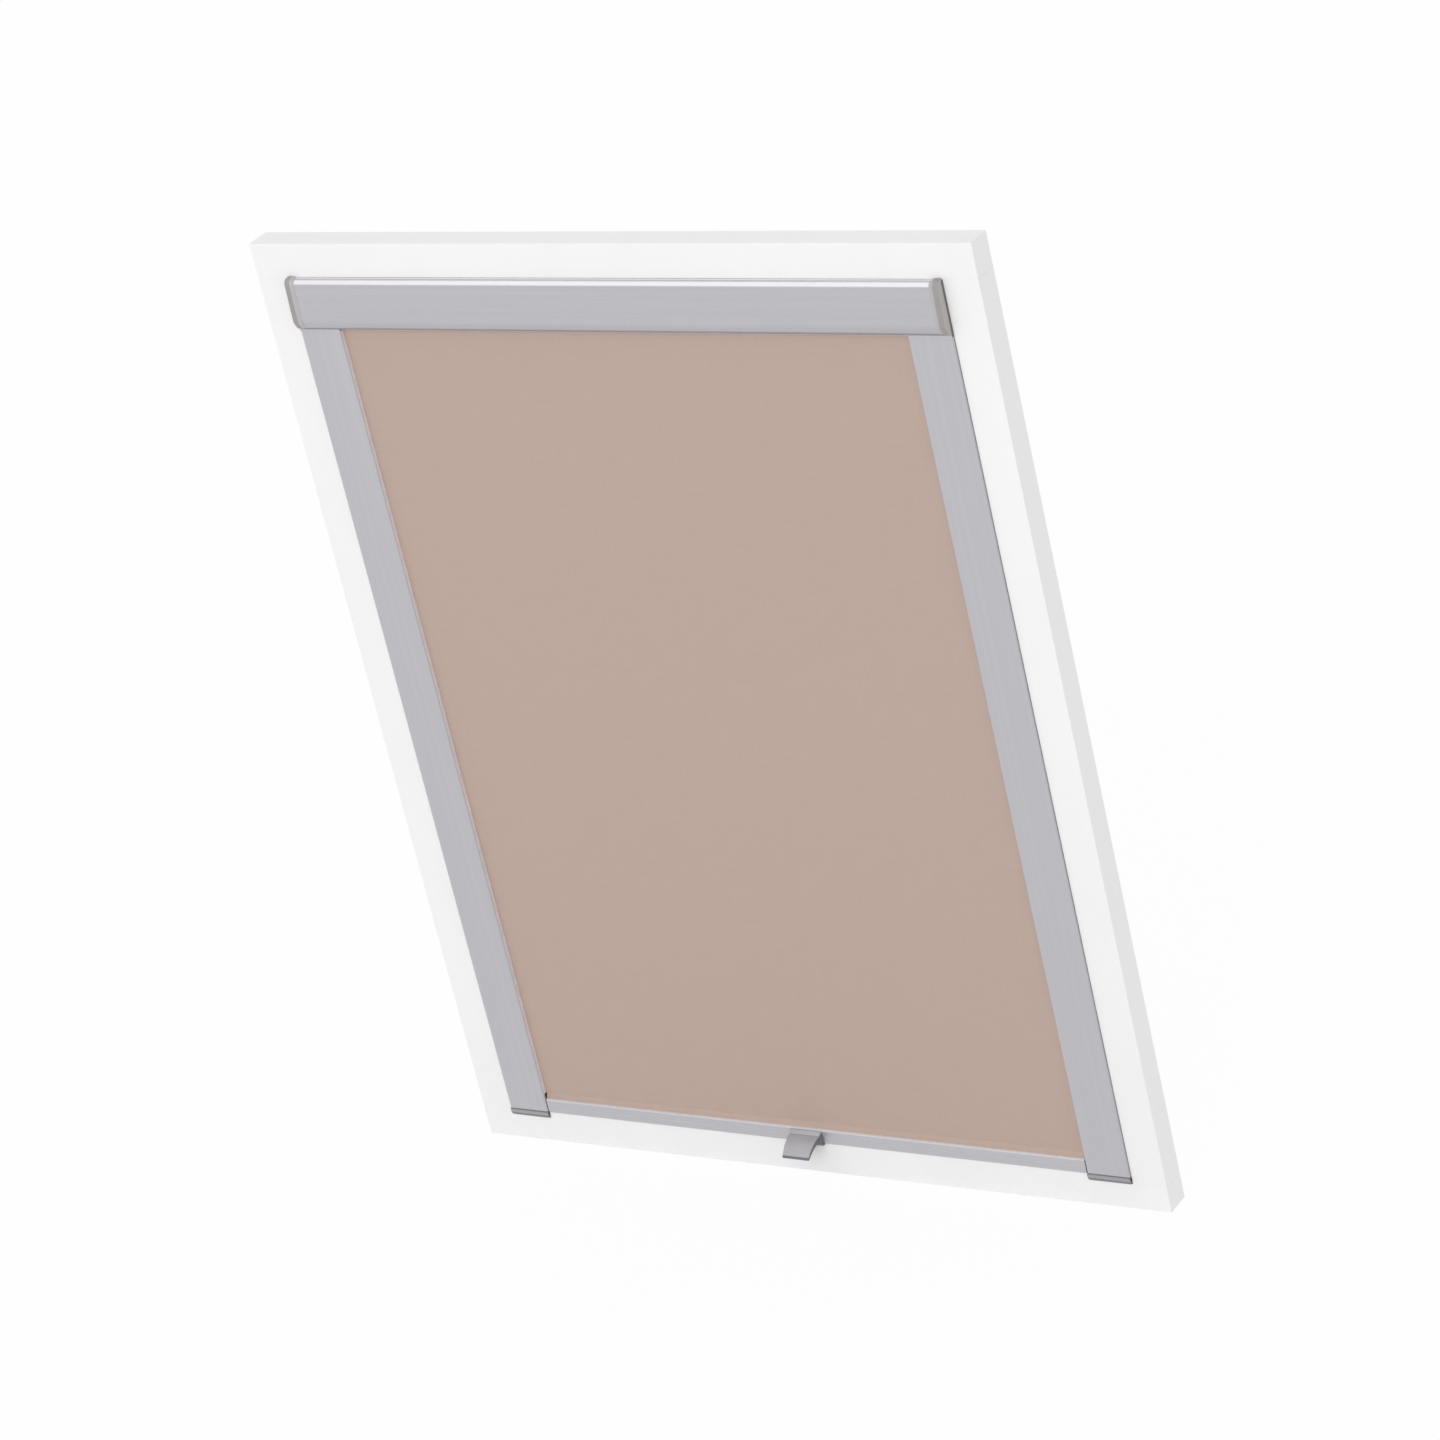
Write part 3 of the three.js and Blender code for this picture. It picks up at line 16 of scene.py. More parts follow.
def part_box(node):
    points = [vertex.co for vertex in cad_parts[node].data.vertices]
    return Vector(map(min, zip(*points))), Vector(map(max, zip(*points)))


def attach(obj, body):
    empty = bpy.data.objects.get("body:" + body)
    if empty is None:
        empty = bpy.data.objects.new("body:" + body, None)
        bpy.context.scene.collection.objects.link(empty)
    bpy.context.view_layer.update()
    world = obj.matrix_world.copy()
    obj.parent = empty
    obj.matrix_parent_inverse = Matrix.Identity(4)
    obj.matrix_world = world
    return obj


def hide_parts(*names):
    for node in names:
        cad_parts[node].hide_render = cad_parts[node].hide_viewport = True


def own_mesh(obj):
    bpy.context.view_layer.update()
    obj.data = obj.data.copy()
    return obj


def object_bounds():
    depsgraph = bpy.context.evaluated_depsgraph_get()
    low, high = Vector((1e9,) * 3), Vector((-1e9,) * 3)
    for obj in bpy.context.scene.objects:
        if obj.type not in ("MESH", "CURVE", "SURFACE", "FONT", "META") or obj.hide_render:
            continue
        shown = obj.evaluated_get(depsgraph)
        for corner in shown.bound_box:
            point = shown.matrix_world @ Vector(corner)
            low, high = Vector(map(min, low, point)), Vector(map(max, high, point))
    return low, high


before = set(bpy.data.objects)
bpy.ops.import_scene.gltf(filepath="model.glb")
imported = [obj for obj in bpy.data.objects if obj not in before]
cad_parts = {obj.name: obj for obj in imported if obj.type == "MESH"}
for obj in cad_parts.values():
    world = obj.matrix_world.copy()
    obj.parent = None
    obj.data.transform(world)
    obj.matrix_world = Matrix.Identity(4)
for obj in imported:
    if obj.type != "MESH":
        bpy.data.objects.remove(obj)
for name in ("Cube", "Light", "Camera"):
    if name in bpy.data.objects:
        bpy.data.objects.remove(bpy.data.objects[name])
cad_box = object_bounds()

MM = 0.001
X_AXIS, Z_AXIS = 0, 2
SIDES = (("left", -1), ("right", 1))

# Camera, solved from the corners and edges of the photograph
PHOTO_SIDE = 1440
FOCAL_PIXELS = 4947.9
SENSOR_WIDTH = 36
CAMERA_PLACE = (2.5072, -3.3993, 2.4144)
CAMERA_AZIMUTH = 36.374
CAMERA_ELEVATION = 24.496
CAMERA_ROLL = -13.528
CAMERA_LEVEL_TILT = 90

# Background: a white sky and a pale floor, which glow for the camera and for reflections
SKY_WHITE = (255, 255, 255)
SKY_LIGHT = 0.815
BACKGROUND_LIGHT = 1
FLOOR_WHITE = (246, 246, 246)
FLOOR_ROUGHNESS = 0.9
FLOOR_SIDE = 30
FLOOR_DROP = 0.0004
FLOOR_GLOW_SHARE = 0.95

# Lamps: a soft key, and an arch of softboxes whose reflection the cassette's crown shows
KEY_PLACE = (1, -8, 4.2)
KEY_AIM = (0, 0, 0.42)
KEY_SIZE = 6
KEY_RADIANCE = 1.52
ARCH_PLACE = (-2.6, 0, 0.92)
ARCH_RADIUS = 4.5
ARCH_TURNS = (1, -35, -71)
ARCH_LENGTH = 2.8
ARCH_WIDTH = 3.2
ARCH_RADIANCE = 1.05

# Screen colours: 8-bit levels, and the curve that turns them into light
SCREEN_LEVELS = 255
CURVE_KNEE = 0.04045
CURVE_SLOPE = 12.92
CURVE_OFFSET = 0.055
CURVE_POWER = 2.4

# Colours of the finishes
WHITE_PAINT = (243, 243, 243)
ANODISED = (187, 186, 191)
CAP_GREY = (154, 151, 150)
# Painted light: the caps' sides, lighter than their front to make up for the shade they get
CAP_SIDE_LIT_GREY = (176, 172, 170)
# Painted shadow: the dark seal where each cap meets the surround
CAP_SHADOW_SEAL_GREY = (108, 105, 104)
# Painted light: the pale seal over the shaded gap above the cassette
TOP_SEAL_LIT_GREY = (238, 232, 233)
# Painted highlight: the lighter bezel inside each cap's rim
BEZEL_HIGHLIGHT_GREY = (180, 177, 179)
FOOT_GREY = (158, 156, 160)
# Painted shade: the foot caps' lower bevel, darker than their face
FOOT_BEVEL_SHADE_GREY = (124, 122, 125)
# Painted highlight: the pale bead at the rail's inner lip
BEAD_HIGHLIGHT_GREY = (226, 220, 222)
# Painted highlight: the light lip along the bar's top edge
BAR_LIP_HIGHLIGHT_GREY = (212, 205, 204)
COVER_STRIP_BEIGE = (187, 165, 154)
HANDLE_GREY = (172, 172, 177)
# Painted shade: the handle's skirts, lip and leg, darker than its shell
HANDLE_RIM_SHADE_GREY = (112, 111, 116)
# Painted shade: the gussets' recessed faces, darker than the handle's shell
HANDLE_RECESS_SHADE_GREY = (134, 133, 138)
CLOTH_BEIGE = (188, 166, 155)
CLOTH_COATING = (216, 210, 203)
STEEL = (150, 152, 156)
PILE_GREY = (150, 148, 150)
BEARING_WHITE = (226, 224, 218)
SHOE_GREY = (78, 77, 81)
RUBBER = (48, 48, 50)

# Noise, which keeps to the middle of its range, from the low share to the high one
NOISE_LOW_SHARE = 0.3
NOISE_HIGH_SHARE = 0.7
NOISE_DETAIL = 3
NOISE_ROUGHNESS = 0.55
BROAD_DETAIL = 1

# Grain of each finish: pitches, lengths and depths in millimetres, tones in levels either way
PAINT_ROUGHNESS = 0.4
PAINT_GLOSS = (0.36, 0.46)
PAINT_CLOUD_PITCH = (70, 70, 140)
PAINT_TONES = 1
STIPPLE_PITCH = 1.4
STIPPLE_DEPTH = 0.025

DIE_LINE_PITCH = 0.35
DIE_LINE_LENGTH = 90
DIE_BAND_PITCH = 5
DIE_BAND_LENGTH = 700
ETCH_PITCH = 0.25
ETCH_DEPTH = 0.003
ANODISED_TONES = 3
ANODISED_GLOSS = (-0.04, 0.05)

MELT_CLOUD_PITCH = 14
MOULDED_GLOSS = (-0.04, 0.06)

STEEL_ROUGHNESS = 0.32
STEEL_GLOSS = (0.26, 0.4)
STEEL_GLOSS_PITCH = 0.5
STEEL_TONES = 8
SPANGLE_PITCH = 1.1
PLATING_PITCH = 0.3
PLATING_DEPTH = 0.006

CLOTH_ROUGHNESS = 0.82
CLOTH_GLOSS = (0.78, 0.88)
CLOTH_SHEEN = 0.1
CLOTH_SHEEN_ROUGHNESS = 0.45
CLOTH_TONES = 4
THREAD_PITCH = 0.6
WEAVE_DEPTH = 0.05
SLUB_LENGTH = 30
SLUB_THICKNESS = 5
SLUB_DEPTH = 0.03

# Blender's wave texture turns by so many radians in one unit
WAVE_RADIANS = 20

COATING_ROUGHNESS = 0.6
COATING_CLOUD_PITCH = 40
COATING_TONES = 2
COATING_DEPTH = 0.03

PILE_ROUGHNESS = 0.85
PILE_SHEEN = 0.3
PILE_SHEEN_ROUGHNESS = 0.5
PILE_TONES = 18
FIBRE_PITCH = (0.2, 1, 0.2)
FIBRE_DEPTH = 0.05

# Anodised finishes: axis of the die lines, metallic share, roughness, depth of the lines
ANODISED_FINISHES = {
    "anodised_aluminium": (Z_AXIS, 0.6, 0.4, 0.004),
    "anodised_level": (X_AXIS, 0.5, 0.4, 0.004),
    "anodised_cover": (X_AXIS, 0.85, 0.3, 0.001),
}

# Moulded finishes: colour, roughness, pitch and depth of the grain, tones
MOULDED_FINISHES = {
    "end_cap_plastic": (CAP_GREY, 0.46, 0.4, 0.02, 2),
    # painted light: the caps' sides, lighter against their shade
    "cap_side_lit": (CAP_SIDE_LIT_GREY, 0.5, 0.4, 0.02, 2),
    # painted highlight on the bezel of the cap's rim
    "cap_bezel_highlight": (BEZEL_HIGHLIGHT_GREY, 0.42, 0.4, 0.015, 2),
    # painted shadow where the cap meets the surround
    "cap_seal": (CAP_SHADOW_SEAL_GREY, 0.6, 0.4, 0.02, 2),
    # painted light over the shaded gap above the cassette
    "top_seal": (TOP_SEAL_LIT_GREY, 0.6, 0.4, 0.02, 2),
    "foot_plastic": (FOOT_GREY, 0.46, 0.4, 0.02, 2),
    # painted shade on the foot caps' lower bevel
    "foot_bevel_shade": (FOOT_BEVEL_SHADE_GREY, 0.46, 0.4, 0.02, 2),
    # painted highlight along the bar's top edge
    "bar_lip_highlight": (BAR_LIP_HIGHLIGHT_GREY, 0.5, 0.4, 0.01, 2),
    "cover_strip": (COVER_STRIP_BEIGE, 0.8, 0.4, 0.02, 2),
    # painted highlight at the rail's inner lip
    "edge_bead": (BEAD_HIGHLIGHT_GREY, 0.85, 0.5, 0.05, 5),
    "handle_plastic": (HANDLE_GREY, 0.38, 0.35, 0.01, 2),
    # painted shade on the handle's sides and underside
    "handle_rim": (HANDLE_RIM_SHADE_GREY, 0.5, 0.35, 0.015, 2),
    # painted shade in the gussets' recesses
    "handle_recess": (HANDLE_RECESS_SHADE_GREY, 0.5, 0.35, 0.015, 2),
    "bearing_plastic": (BEARING_WHITE, 0.36, 0.8, 0.01, 2),
    "shoe_plastic": (SHOE_GREY, 0.45, 0.5, 0.02, 2),
    "brake_rubber": (RUBBER, 0.8, 0.7, 0.03, 4),
}

# CAD nodes whose finish isn't that of their slot
SPECIAL_FINISHES = {
    # End caps in the lighter paint of their sides, which makes up for their shade
    "left_cassette_cap": "cap_side_lit",
    "right_cassette_cap": "cap_side_lit",
    "cassette_front_cover": "anodised_cover",
    # Foot caps in the dark paint of the bevel's shade
    "left_rail_foot_cap": "foot_bevel_shade",
    "right_rail_foot_cap": "foot_bevel_shade",
}

# Softened edges of the CAD nodes, by slot, in millimetres
EDGE_WIDTHS = {
    "surround_paint": 0.5,
    "anodised_aluminium": 0.2,
    "end_cap_plastic": 0.45,
    "handle_plastic": 0.4,
    "bearing_plastic": 0.3,
    "shoe_plastic": 0.3,
}
EDGE_STEPS = 2
WELD_REACH = 0.001
FACET_ANGLE = math.radians(28)
FLAT_ANGLE = math.radians(0.6)

# Cloth
CLOTH_THICKNESS = 0.3
CLOTH_COLUMNS = 64
CLOTH_ROWS = 96
RIPPLE = 0.12
RIPPLE_WAVES = ((11, 2), (23, -3))
SHOE_CLEARANCE = 0.3
WRAPS = 1.5
WRAP_STEPS = 72

# Pale bead along the cloth's edge, in the front of each slot's mouth, painted light as the highlight
# on the rail's inner lip
BEAD_INSET = -0.12
BEAD_WIDTH = 0.9
BEAD_SETBACK = 1.6
BEAD_CLOTH_GAP = 0.1

# Cassette outline, as the cover has it
CASSETTE_PROUD = 7.5
CROWN_RADIUS = 5
FACE_RAKE = 1.8
CHIN_HEIGHT = 12.5
CHIN_DEPTH = 9.4
CHIN_RADIUS = 8
JOWL_HEIGHT = 4.4
JOWL_DEPTH = 4.2
ARC_STEPS = 8

# Cap rim: places across it as (in from the cap's outer face, proud of the cover)
RIM_SECTION = (
    (10.2, 0.03),
    (10.0, 0.3),
    (6.9, 1.3),
    (6.1, 1.45),
    (1.2, 1.45),
    (0.4, 1.15),
    (0, 0.4),
    (-0.1, -0.8),
    (0.6, -0.8),
    (5.9, 0.03),
)
# Faces of the rim's section: the bezel, painted lighter as a highlight, and the outer side, painted
# lighter against its shade
RIM_HIGHLIGHT_SIDES = (0, 1, 2)
RIM_OUTER_SIDES = (5, 6, 7)
RIM_START_REACH = 3.4
RIM_END_GAP = 0.3

# Seals where the cassette meets the surround: a dark one at each cap, painted as the shadow in that
# joint, and a pale one along the top, painted light
SEAL_WIDTH = 2.2
SEAL_DEPTH = 0.3
SEAL_PROUD = 0.2
SEAL_START = 1
TOP_SEAL_REACH = 2.4
TOP_SEAL_PROUD = 0.2

# Rail ends: the foot's section as (rise above its underside, setback from its front)
RAIL_INNER_RADIUS = 1.8
RAIL_EDGE_RADIUS = 0.9
RAIL_HEAD_GAP = 0.2
RAIL_HEAD_LEVELS = 14
FOOT_PROUD = 0.3
FOOT_CORNER = 1.8
FOOT_SECTION = (
    (0.25, 1.9),
    (1.6, 0.9),
    (3.6, 0.35),
    (3.9, 0),
    (7.3, 0),
    (7.4, 0.9),
    (8.1, 0.9),
)
# Rings of the foot's bevel, which is painted dark as shade
FOOT_SHADE_RINGS = 2

# Lip and cover strip on the bar's top, as (back from the bar's front, rise above its top)
BAR_LIP_SECTION = ((0.5, -0.1), (0.6, 0.2), (1.0, 0.4), (2.1, 0.55), (2.1, -0.1))
COVER_STRIP_SECTION = ((2.1, -0.1), (2.2, 0.6), (3.0, 2.2), (3.8, 4.2), (4.3, 6.4), (4.3, -0.1))

# Pull handle: places are (reach in front of the bar, drop below the handle's top), and the
# half widths are (reach, half width)
HANDLE_TOP_INSET = 1
HANDLE_SEAT_GAP = 0.3
HANDLE_HALF_WIDTHS = ((-2, 18), (0, 18), (4.5, 16.7), (30, 14.8))
HANDLE_FACET = ((-0.2, -0.1), (0.5, 0), (4.1, 2.5), (4.4, 3.0), (5.0, 3.0))
VISOR_CURVE = ((4.5, 2.8), (17, 3.6), (27.7, 15.1))
VISOR_START_SHARE = 0.04
VISOR_END_SHARE = 0.96
VISOR_STEPS = 20
SHELL_THICKNESS = 1
SHELL_EDGE = 0.5
SKIRT_WALL = 1
SKIRT_INSET = 0.12
SKIRT_HEIGHTS = (7, 3)
LIP_SECTION = (
    (25.7, 14.0),
    (26.6, 14.6),
    (27.4, 15.2),
    (27.68, 16.0),
    (27.5, 16.9),
    (26.8, 17.5),
    (25.9, 17.3),
    (25.2, 16.0),
)
LIP_END_SHARE = 0.75
LIP_END_ROUND = 0.5
GUSSET_START = 14.2
GUSSET_OUTLINE = (
    (-0.25, 1.3),
    (4.3, 3.7),
    (5.0, 9.8),
    (3.8, 13.0),
    (1.2, 15.7),
    (-1.3, 15.5),
    (-1.3, 14.8),
    (-0.25, 14.7),
)
GUSSET_RECESS = (
    (1.1, 3.3),
    (3.2, 4.7),
    (3.8, 9.6),
    (2.8, 12.2),
    (1.4, 13.7),
    (1.2, 13.6),
    (1.1, 13.2),
    (1.1, 12.6),
)
GUSSET_RECESS_DEPTH = 0.7
LEG_OUTLINE = (
    (-0.25, 1.3),
    (1.6, 2.3),
    (1.5, 13.5),
    (1.2, 15.7),
    (-1.3, 15.5),
    (-1.3, 14.8),
    (-0.25, 14.7),
)

# Brush pile
TUFT_PITCH = 1.5
TUFT_ROWS = 3
TUFT_WIDTH = 0.55
TUFT_TIP_SHARE = 0.25
TUFT_SUNK_SHARE = 0.25
TUFT_SHORT_SHARE = 0.9
TUFT_LEAN = 0.3
TUFT_CORNERS = ((-1, -1), (1, -1), (1, 1), (-1, 1))
BACKING_SHARE = 0.5
PILE_GAP = 0.15
SEED = 7

# Places in the frame
cover_low, cover_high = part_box("cassette_front_cover")
rail_low, rail_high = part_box("right_side_rail")
bar_low, bar_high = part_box("bottom_bar")
cloth_low, cloth_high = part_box("blind_cloth")
cloth_y = (cloth_low.y + cloth_high.y) / 2
seam_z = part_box("left_bar_shoe")[1].z + SHOE_CLEARANCE * MM
cap_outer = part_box("right_cassette_cap")[1].x
surround_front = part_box("surround_head")[0].y
trim_back = surround_front - RIM_END_GAP * MM


# Materials
def linear(colour):
    """An 8-bit screen colour as linear RGBA."""
    shares = [value / SCREEN_LEVELS for value in colour]
    values = [
        share / CURVE_SLOPE
        if share <= CURVE_KNEE
        else ((share + CURVE_OFFSET) / (1 + CURVE_OFFSET)) ** CURVE_POWER
        for share in shares
    ]
    return (*values, 1)


def shade(colour, change):
    return tuple(max(0, min(SCREEN_LEVELS, value + change)) for value in colour)


def add_node(made, kind, **settings):
    node = made.node_tree.nodes.new(kind)
    for key, value in settings.items():
        setattr(node, key, value)
    return node


def link(made, source, target):
    made.node_tree.links.new(source, target)


def shader_of(made):
    return made.node_tree.nodes["Principled BSDF"]


def new_material(name, colour, roughness, **sockets):
    made = bpy.data.materials.new(name)
    made.use_nodes = True
    shader = shader_of(made)
    shader.inputs["Base Color"].default_value = linear(colour)
    shader.inputs["Roughness"].default_value = roughness
    for socket, value in sockets.items():
        shader.inputs[socket.replace("_", " ").title()].default_value = value
    return made


def even(pitch):
    return (pitch, pitch, pitch)


def along(axis, short, length):
    """A pitch that is long on one axis, 0 for x to 2 for z, and short on the others."""
    pitch = list(even(short))
    pitch[axis] = length
    return pitch


def places(made, pitch):
    """The object's own coordinates, one unit for each pitch along x, y and z in millimetres."""
    here = add_node(made, "ShaderNodeTexCoord")
    scaled = add_node(made, "ShaderNodeMapping")
    scaled.inputs["Scale"].default_value = [1 / (length * MM) if length else 0 for length in pitch]
    link(made, here.outputs["Object"], scaled.inputs["Vector"])
    return scaled.outputs["Vector"]


def noise(made, pitch, detail=NOISE_DETAIL):
    grain = add_node(made, "ShaderNodeTexNoise")
    grain.inputs["Scale"].default_value = 1
    grain.inputs["Detail"].default_value = detail
    grain.inputs["Roughness"].default_value = NOISE_ROUGHNESS
    link(made, places(made, pitch), grain.inputs["Vector"])
    return grain.outputs["Fac"]


def cells(made, pitch):
    pattern = add_node(made, "ShaderNodeTexVoronoi")
    pattern.inputs["Scale"].default_value = 1
    link(made, places(made, pitch), pattern.inputs["Vector"])
    return pattern.outputs["Distance"]


def blend(made, share, first, second):
    """A value that is first where share is 0 and second where it is 1."""
    mixed = add_node(made, "ShaderNodeMix", data_type="FLOAT")
    link(made, share, mixed.inputs["Factor"])
    link(made, first, mixed.inputs["A"])
    link(made, second, mixed.inputs["B"])
    return mixed.outputs["Result"]


def tint(made, share, colour, tones):
    """The base colour gets lighter as share, such as noise, goes up, or darker if tones is below 0."""
    ramp = add_node(made, "ShaderNodeValToRGB")
    ends = ((NOISE_LOW_SHARE, -tones), (NOISE_HIGH_SHARE, tones))
    for stop, (place, change) in zip(ramp.color_ramp.elements, ends):
        stop.position = place
        stop.color = linear(shade(colour, change))
    link(made, share, ramp.inputs["Fac"])
    link(made, ramp.outputs["Color"], shader_of(made).inputs["Base Color"])


def gloss(made, share, low, high):
    """The roughness goes from low to high as share, such as noise, goes up."""
    spread = add_node(made, "ShaderNodeMapRange")
    spread.inputs["From Min"].default_value = NOISE_LOW_SHARE
    spread.inputs["From Max"].default_value = NOISE_HIGH_SHARE
    spread.inputs["To Min"].default_value = low
    spread.inputs["To Max"].default_value = high
    link(made, share, spread.inputs["Value"])
    link(made, spread.outputs["Result"], shader_of(made).inputs["Roughness"])


def relief(made, height, depth):
    """A bump of that depth in millimetres, on top of any bump the material has."""
    bump = add_node(made, "ShaderNodeBump")
    bump.inputs["Distance"].default_value = depth * MM
    link(made, height, bump.inputs["Height"])
    normal = shader_of(made).inputs["Normal"]
    if normal.is_linked:
        link(made, normal.links[0].from_socket, bump.inputs["Normal"])
    link(made, bump.outputs["Normal"], normal)


def painted_wood():
    """Satin paint: a fine roller texture, and a slow change of gloss."""
    made = new_material("white_paint", WHITE_PAINT, PAINT_ROUGHNESS)
    slow = noise(made, PAINT_CLOUD_PITCH)
    tint(made, slow, WHITE_PAINT, PAINT_TONES)
    gloss(made, slow, *PAINT_GLOSS)
    relief(made, noise(made, even(STIPPLE_PITCH)), STIPPLE_DEPTH)
    return made


def anodised(name, axis, metallic, roughness, line_depth):
    """Matt anodised extrusion: die lines along one axis over a fine etched grain."""
    made = new_material(name, ANODISED, roughness, metallic=metallic)
    fine = noise(made, along(axis, DIE_LINE_PITCH, DIE_LINE_LENGTH))
    broad = noise(made, along(axis, DIE_BAND_PITCH, DIE_BAND_LENGTH), BROAD_DETAIL)
    tint(made, blend(made, broad, fine, broad), ANODISED, ANODISED_TONES)
    gloss(made, fine, *[roughness + change for change in ANODISED_GLOSS])
    relief(made, fine, line_depth)
    relief(made, noise(made, even(ETCH_PITCH)), ETCH_DEPTH)
    return made


def moulded(name, colour, roughness, grain, depth, tones):
    """Moulded plastic: an eroded grain, with slow changes of tone where the melt flowed."""
    made = new_material(name, colour, roughness)
    tint(made, noise(made, even(MELT_CLOUD_PITCH), BROAD_DETAIL), colour, tones)
    texture = cells(made, even(grain))
    gloss(made, noise(made, even(grain)), *[roughness + change for change in MOULDED_GLOSS])
    relief(made, texture, depth)
    return made


def zinc_steel():
    """Zinc plating: a spangle of small cells, each lighter in its middle."""
    made = new_material("zinc_steel", STEEL, STEEL_ROUGHNESS, metallic=1)
    tint(made, cells(made, even(SPANGLE_PITCH)), STEEL, -STEEL_TONES)
    gloss(made, noise(made, even(STEEL_GLOSS_PITCH)), *STEEL_GLOSS)
    relief(made, noise(made, even(PLATING_PITCH)), PLATING_DEPTH)
    return made


def woven_cloth():
    """Plain weave: warp and weft change places at each crossing, with slubs along both."""
    sheen = {"sheen_weight": CLOTH_SHEEN, "sheen_roughness": CLOTH_SHEEN_ROUGHNESS}
    made = new_material("blackout_weave", CLOTH_BEIGE, CLOTH_ROUGHNESS, **sheen)
    thread = places(made, (THREAD_PITCH, 0, THREAD_PITCH))
    waves = []
    for axis in ("X", "Z"):
        wave = add_node(made, "ShaderNodeTexWave", bands_direction=axis)
        wave.inputs["Scale"].default_value = 2 * math.pi / WAVE_RADIANS
        link(made, thread, wave.inputs["Vector"])
        waves.append(wave.outputs["Fac"])
    over = add_node(made, "ShaderNodeTexChecker")
    over.inputs["Scale"].default_value = 1
    link(made, thread, over.inputs["Vector"])
    weave = blend(made, over.outputs["Fac"], *waves)
    warp = noise(made, (THREAD_PITCH, SLUB_THICKNESS, SLUB_LENGTH))
    weft = noise(made, (SLUB_LENGTH, SLUB_THICKNESS, THREAD_PITCH))
    slubs = blend(made, over.outputs["Fac"], warp, weft)
    tint(made, slubs, CLOTH_BEIGE, CLOTH_TONES)
    gloss(made, slubs, *CLOTH_GLOSS)
    relief(made, weave, WEAVE_DEPTH)
    relief(made, slubs, SLUB_DEPTH)
    return made


def cloth_coating():
    """The back of the cloth: a pale coat that the weave shows through faintly."""
    made = new_material("cloth_coating", CLOTH_COATING, COATING_ROUGHNESS)
    tint(made, noise(made, even(COATING_CLOUD_PITCH)), CLOTH_COATING, COATING_TONES)
    relief(made, noise(made, even(THREAD_PITCH)), COATING_DEPTH)
    return made


def brush_pile():
    sheen = {"sheen_weight": PILE_SHEEN, "sheen_roughness": PILE_SHEEN_ROUGHNESS}
    made = new_material("brush_pile", PILE_GREY, PILE_ROUGHNESS, **sheen)
    fibres = noise(made, FIBRE_PITCH)
    tint(made, fibres, PILE_GREY, PILE_TONES)
    relief(made, fibres, FIBRE_DEPTH)
    return made


def make_finishes():
    made = {
        "surround_paint": painted_wood(),
        "blackout_cloth": woven_cloth(),
        "cloth_coating": cloth_coating(),
        "steel": zinc_steel(),
        "brush_pile": brush_pile(),
    }
    for finish, settings in ANODISED_FINISHES.items():
        made[finish] = anodised(finish, *settings)
    for finish, settings in MOULDED_FINISHES.items():
        made[finish] = moulded(finish, *settings)
    return made


# Camera, background and light
def show(holder):
    bpy.context.scene.collection.objects.link(holder)
    return holder


def make_camera():
    lens = bpy.data.cameras.new("camera")
    lens.sensor_width = SENSOR_WIDTH
    lens.lens = FOCAL_PIXELS / PHOTO_SIDE * SENSOR_WIDTH
    camera = show(bpy.data.objects.new("camera", lens))
    tilt = math.radians(CAMERA_LEVEL_TILT - CAMERA_ELEVATION)
    aim = Euler((tilt, 0, math.radians(CAMERA_AZIMUTH)))
    roll = Euler((0, 0, math.radians(CAMERA_ROLL)))
    camera.matrix_world = aim.to_matrix().to_4x4() @ roll.to_matrix().to_4x4()
    camera.location = CAMERA_PLACE
    bpy.context.scene.camera = camera


def seen_share(made):
    """1 for the rays that show a background: camera, glossy and transmission rays."""
    path = add_node(made, "ShaderNodeLightPath")
    rays = [path.outputs[f"Is {kind} Ray"] for kind in ("Camera", "Glossy", "Transmission")]
    total = rays[0]
    for ray in rays[1:]:
        either = add_node(made, "ShaderNodeMath", operation="MAXIMUM")
        link(made, total, either.inputs[0])
        link(made, ray, either.inputs[1])
        total = either.outputs["Value"]
    return total


def mix_shaders(made, share, first, second, output):
    either = add_node(made, "ShaderNodeMixShader")
    link(made, share, either.inputs["Fac"])
    link(made, first, either.inputs[1])
    link(made, second, either.inputs[2])
    link(made, either.outputs["Shader"], output.inputs["Surface"])


def make_sky():
    sky = bpy.data.worlds.new("sky")
    sky.use_nodes = True
    sky.node_tree.nodes.clear()
    skies = []
    for strength in (SKY_LIGHT, BACKGROUND_LIGHT):
        white = add_node(sky, "ShaderNodeBackground")
        white.inputs["Color"].default_value = linear(SKY_WHITE)
        white.inputs["Strength"].default_value = strength
        skies.append(white.outputs["Background"])
    output = add_node(sky, "ShaderNodeOutputWorld")
    mix_shaders(sky, seen_share(sky), *skies, output)
    bpy.context.scene.world = sky


def make_floor():
    """A pale floor that glows for the camera and for reflections, and keeps a trace of shadow."""
    half = FLOOR_SIDE / 2
    level = cad_box[0].z - FLOOR_DROP
    corners = [(-half, -half, level), (half, -half, level), (half, half, level), (-half, half, level)]
    mesh = bpy.data.meshes.new("floor")
    mesh.from_pydata(corners, [], [range(len(corners))])
    floor = show(bpy.data.objects.new("floor", mesh))
    made = new_material("floor_white", FLOOR_WHITE, FLOOR_ROUGHNESS)
    glow = add_node(made, "ShaderNodeEmission")
    share = add_node(made, "ShaderNodeMath", operation="MULTIPLY")
    link(made, seen_share(made), share.inputs[0])
    share.inputs[1].default_value = FLOOR_GLOW_SHARE
    paint = shader_of(made).outputs["BSDF"]
    output = made.node_tree.nodes["Material Output"]
    mix_shaders(made, share.outputs["Value"], paint, glow.outputs["Emission"], output)
    mesh.materials.append(made)


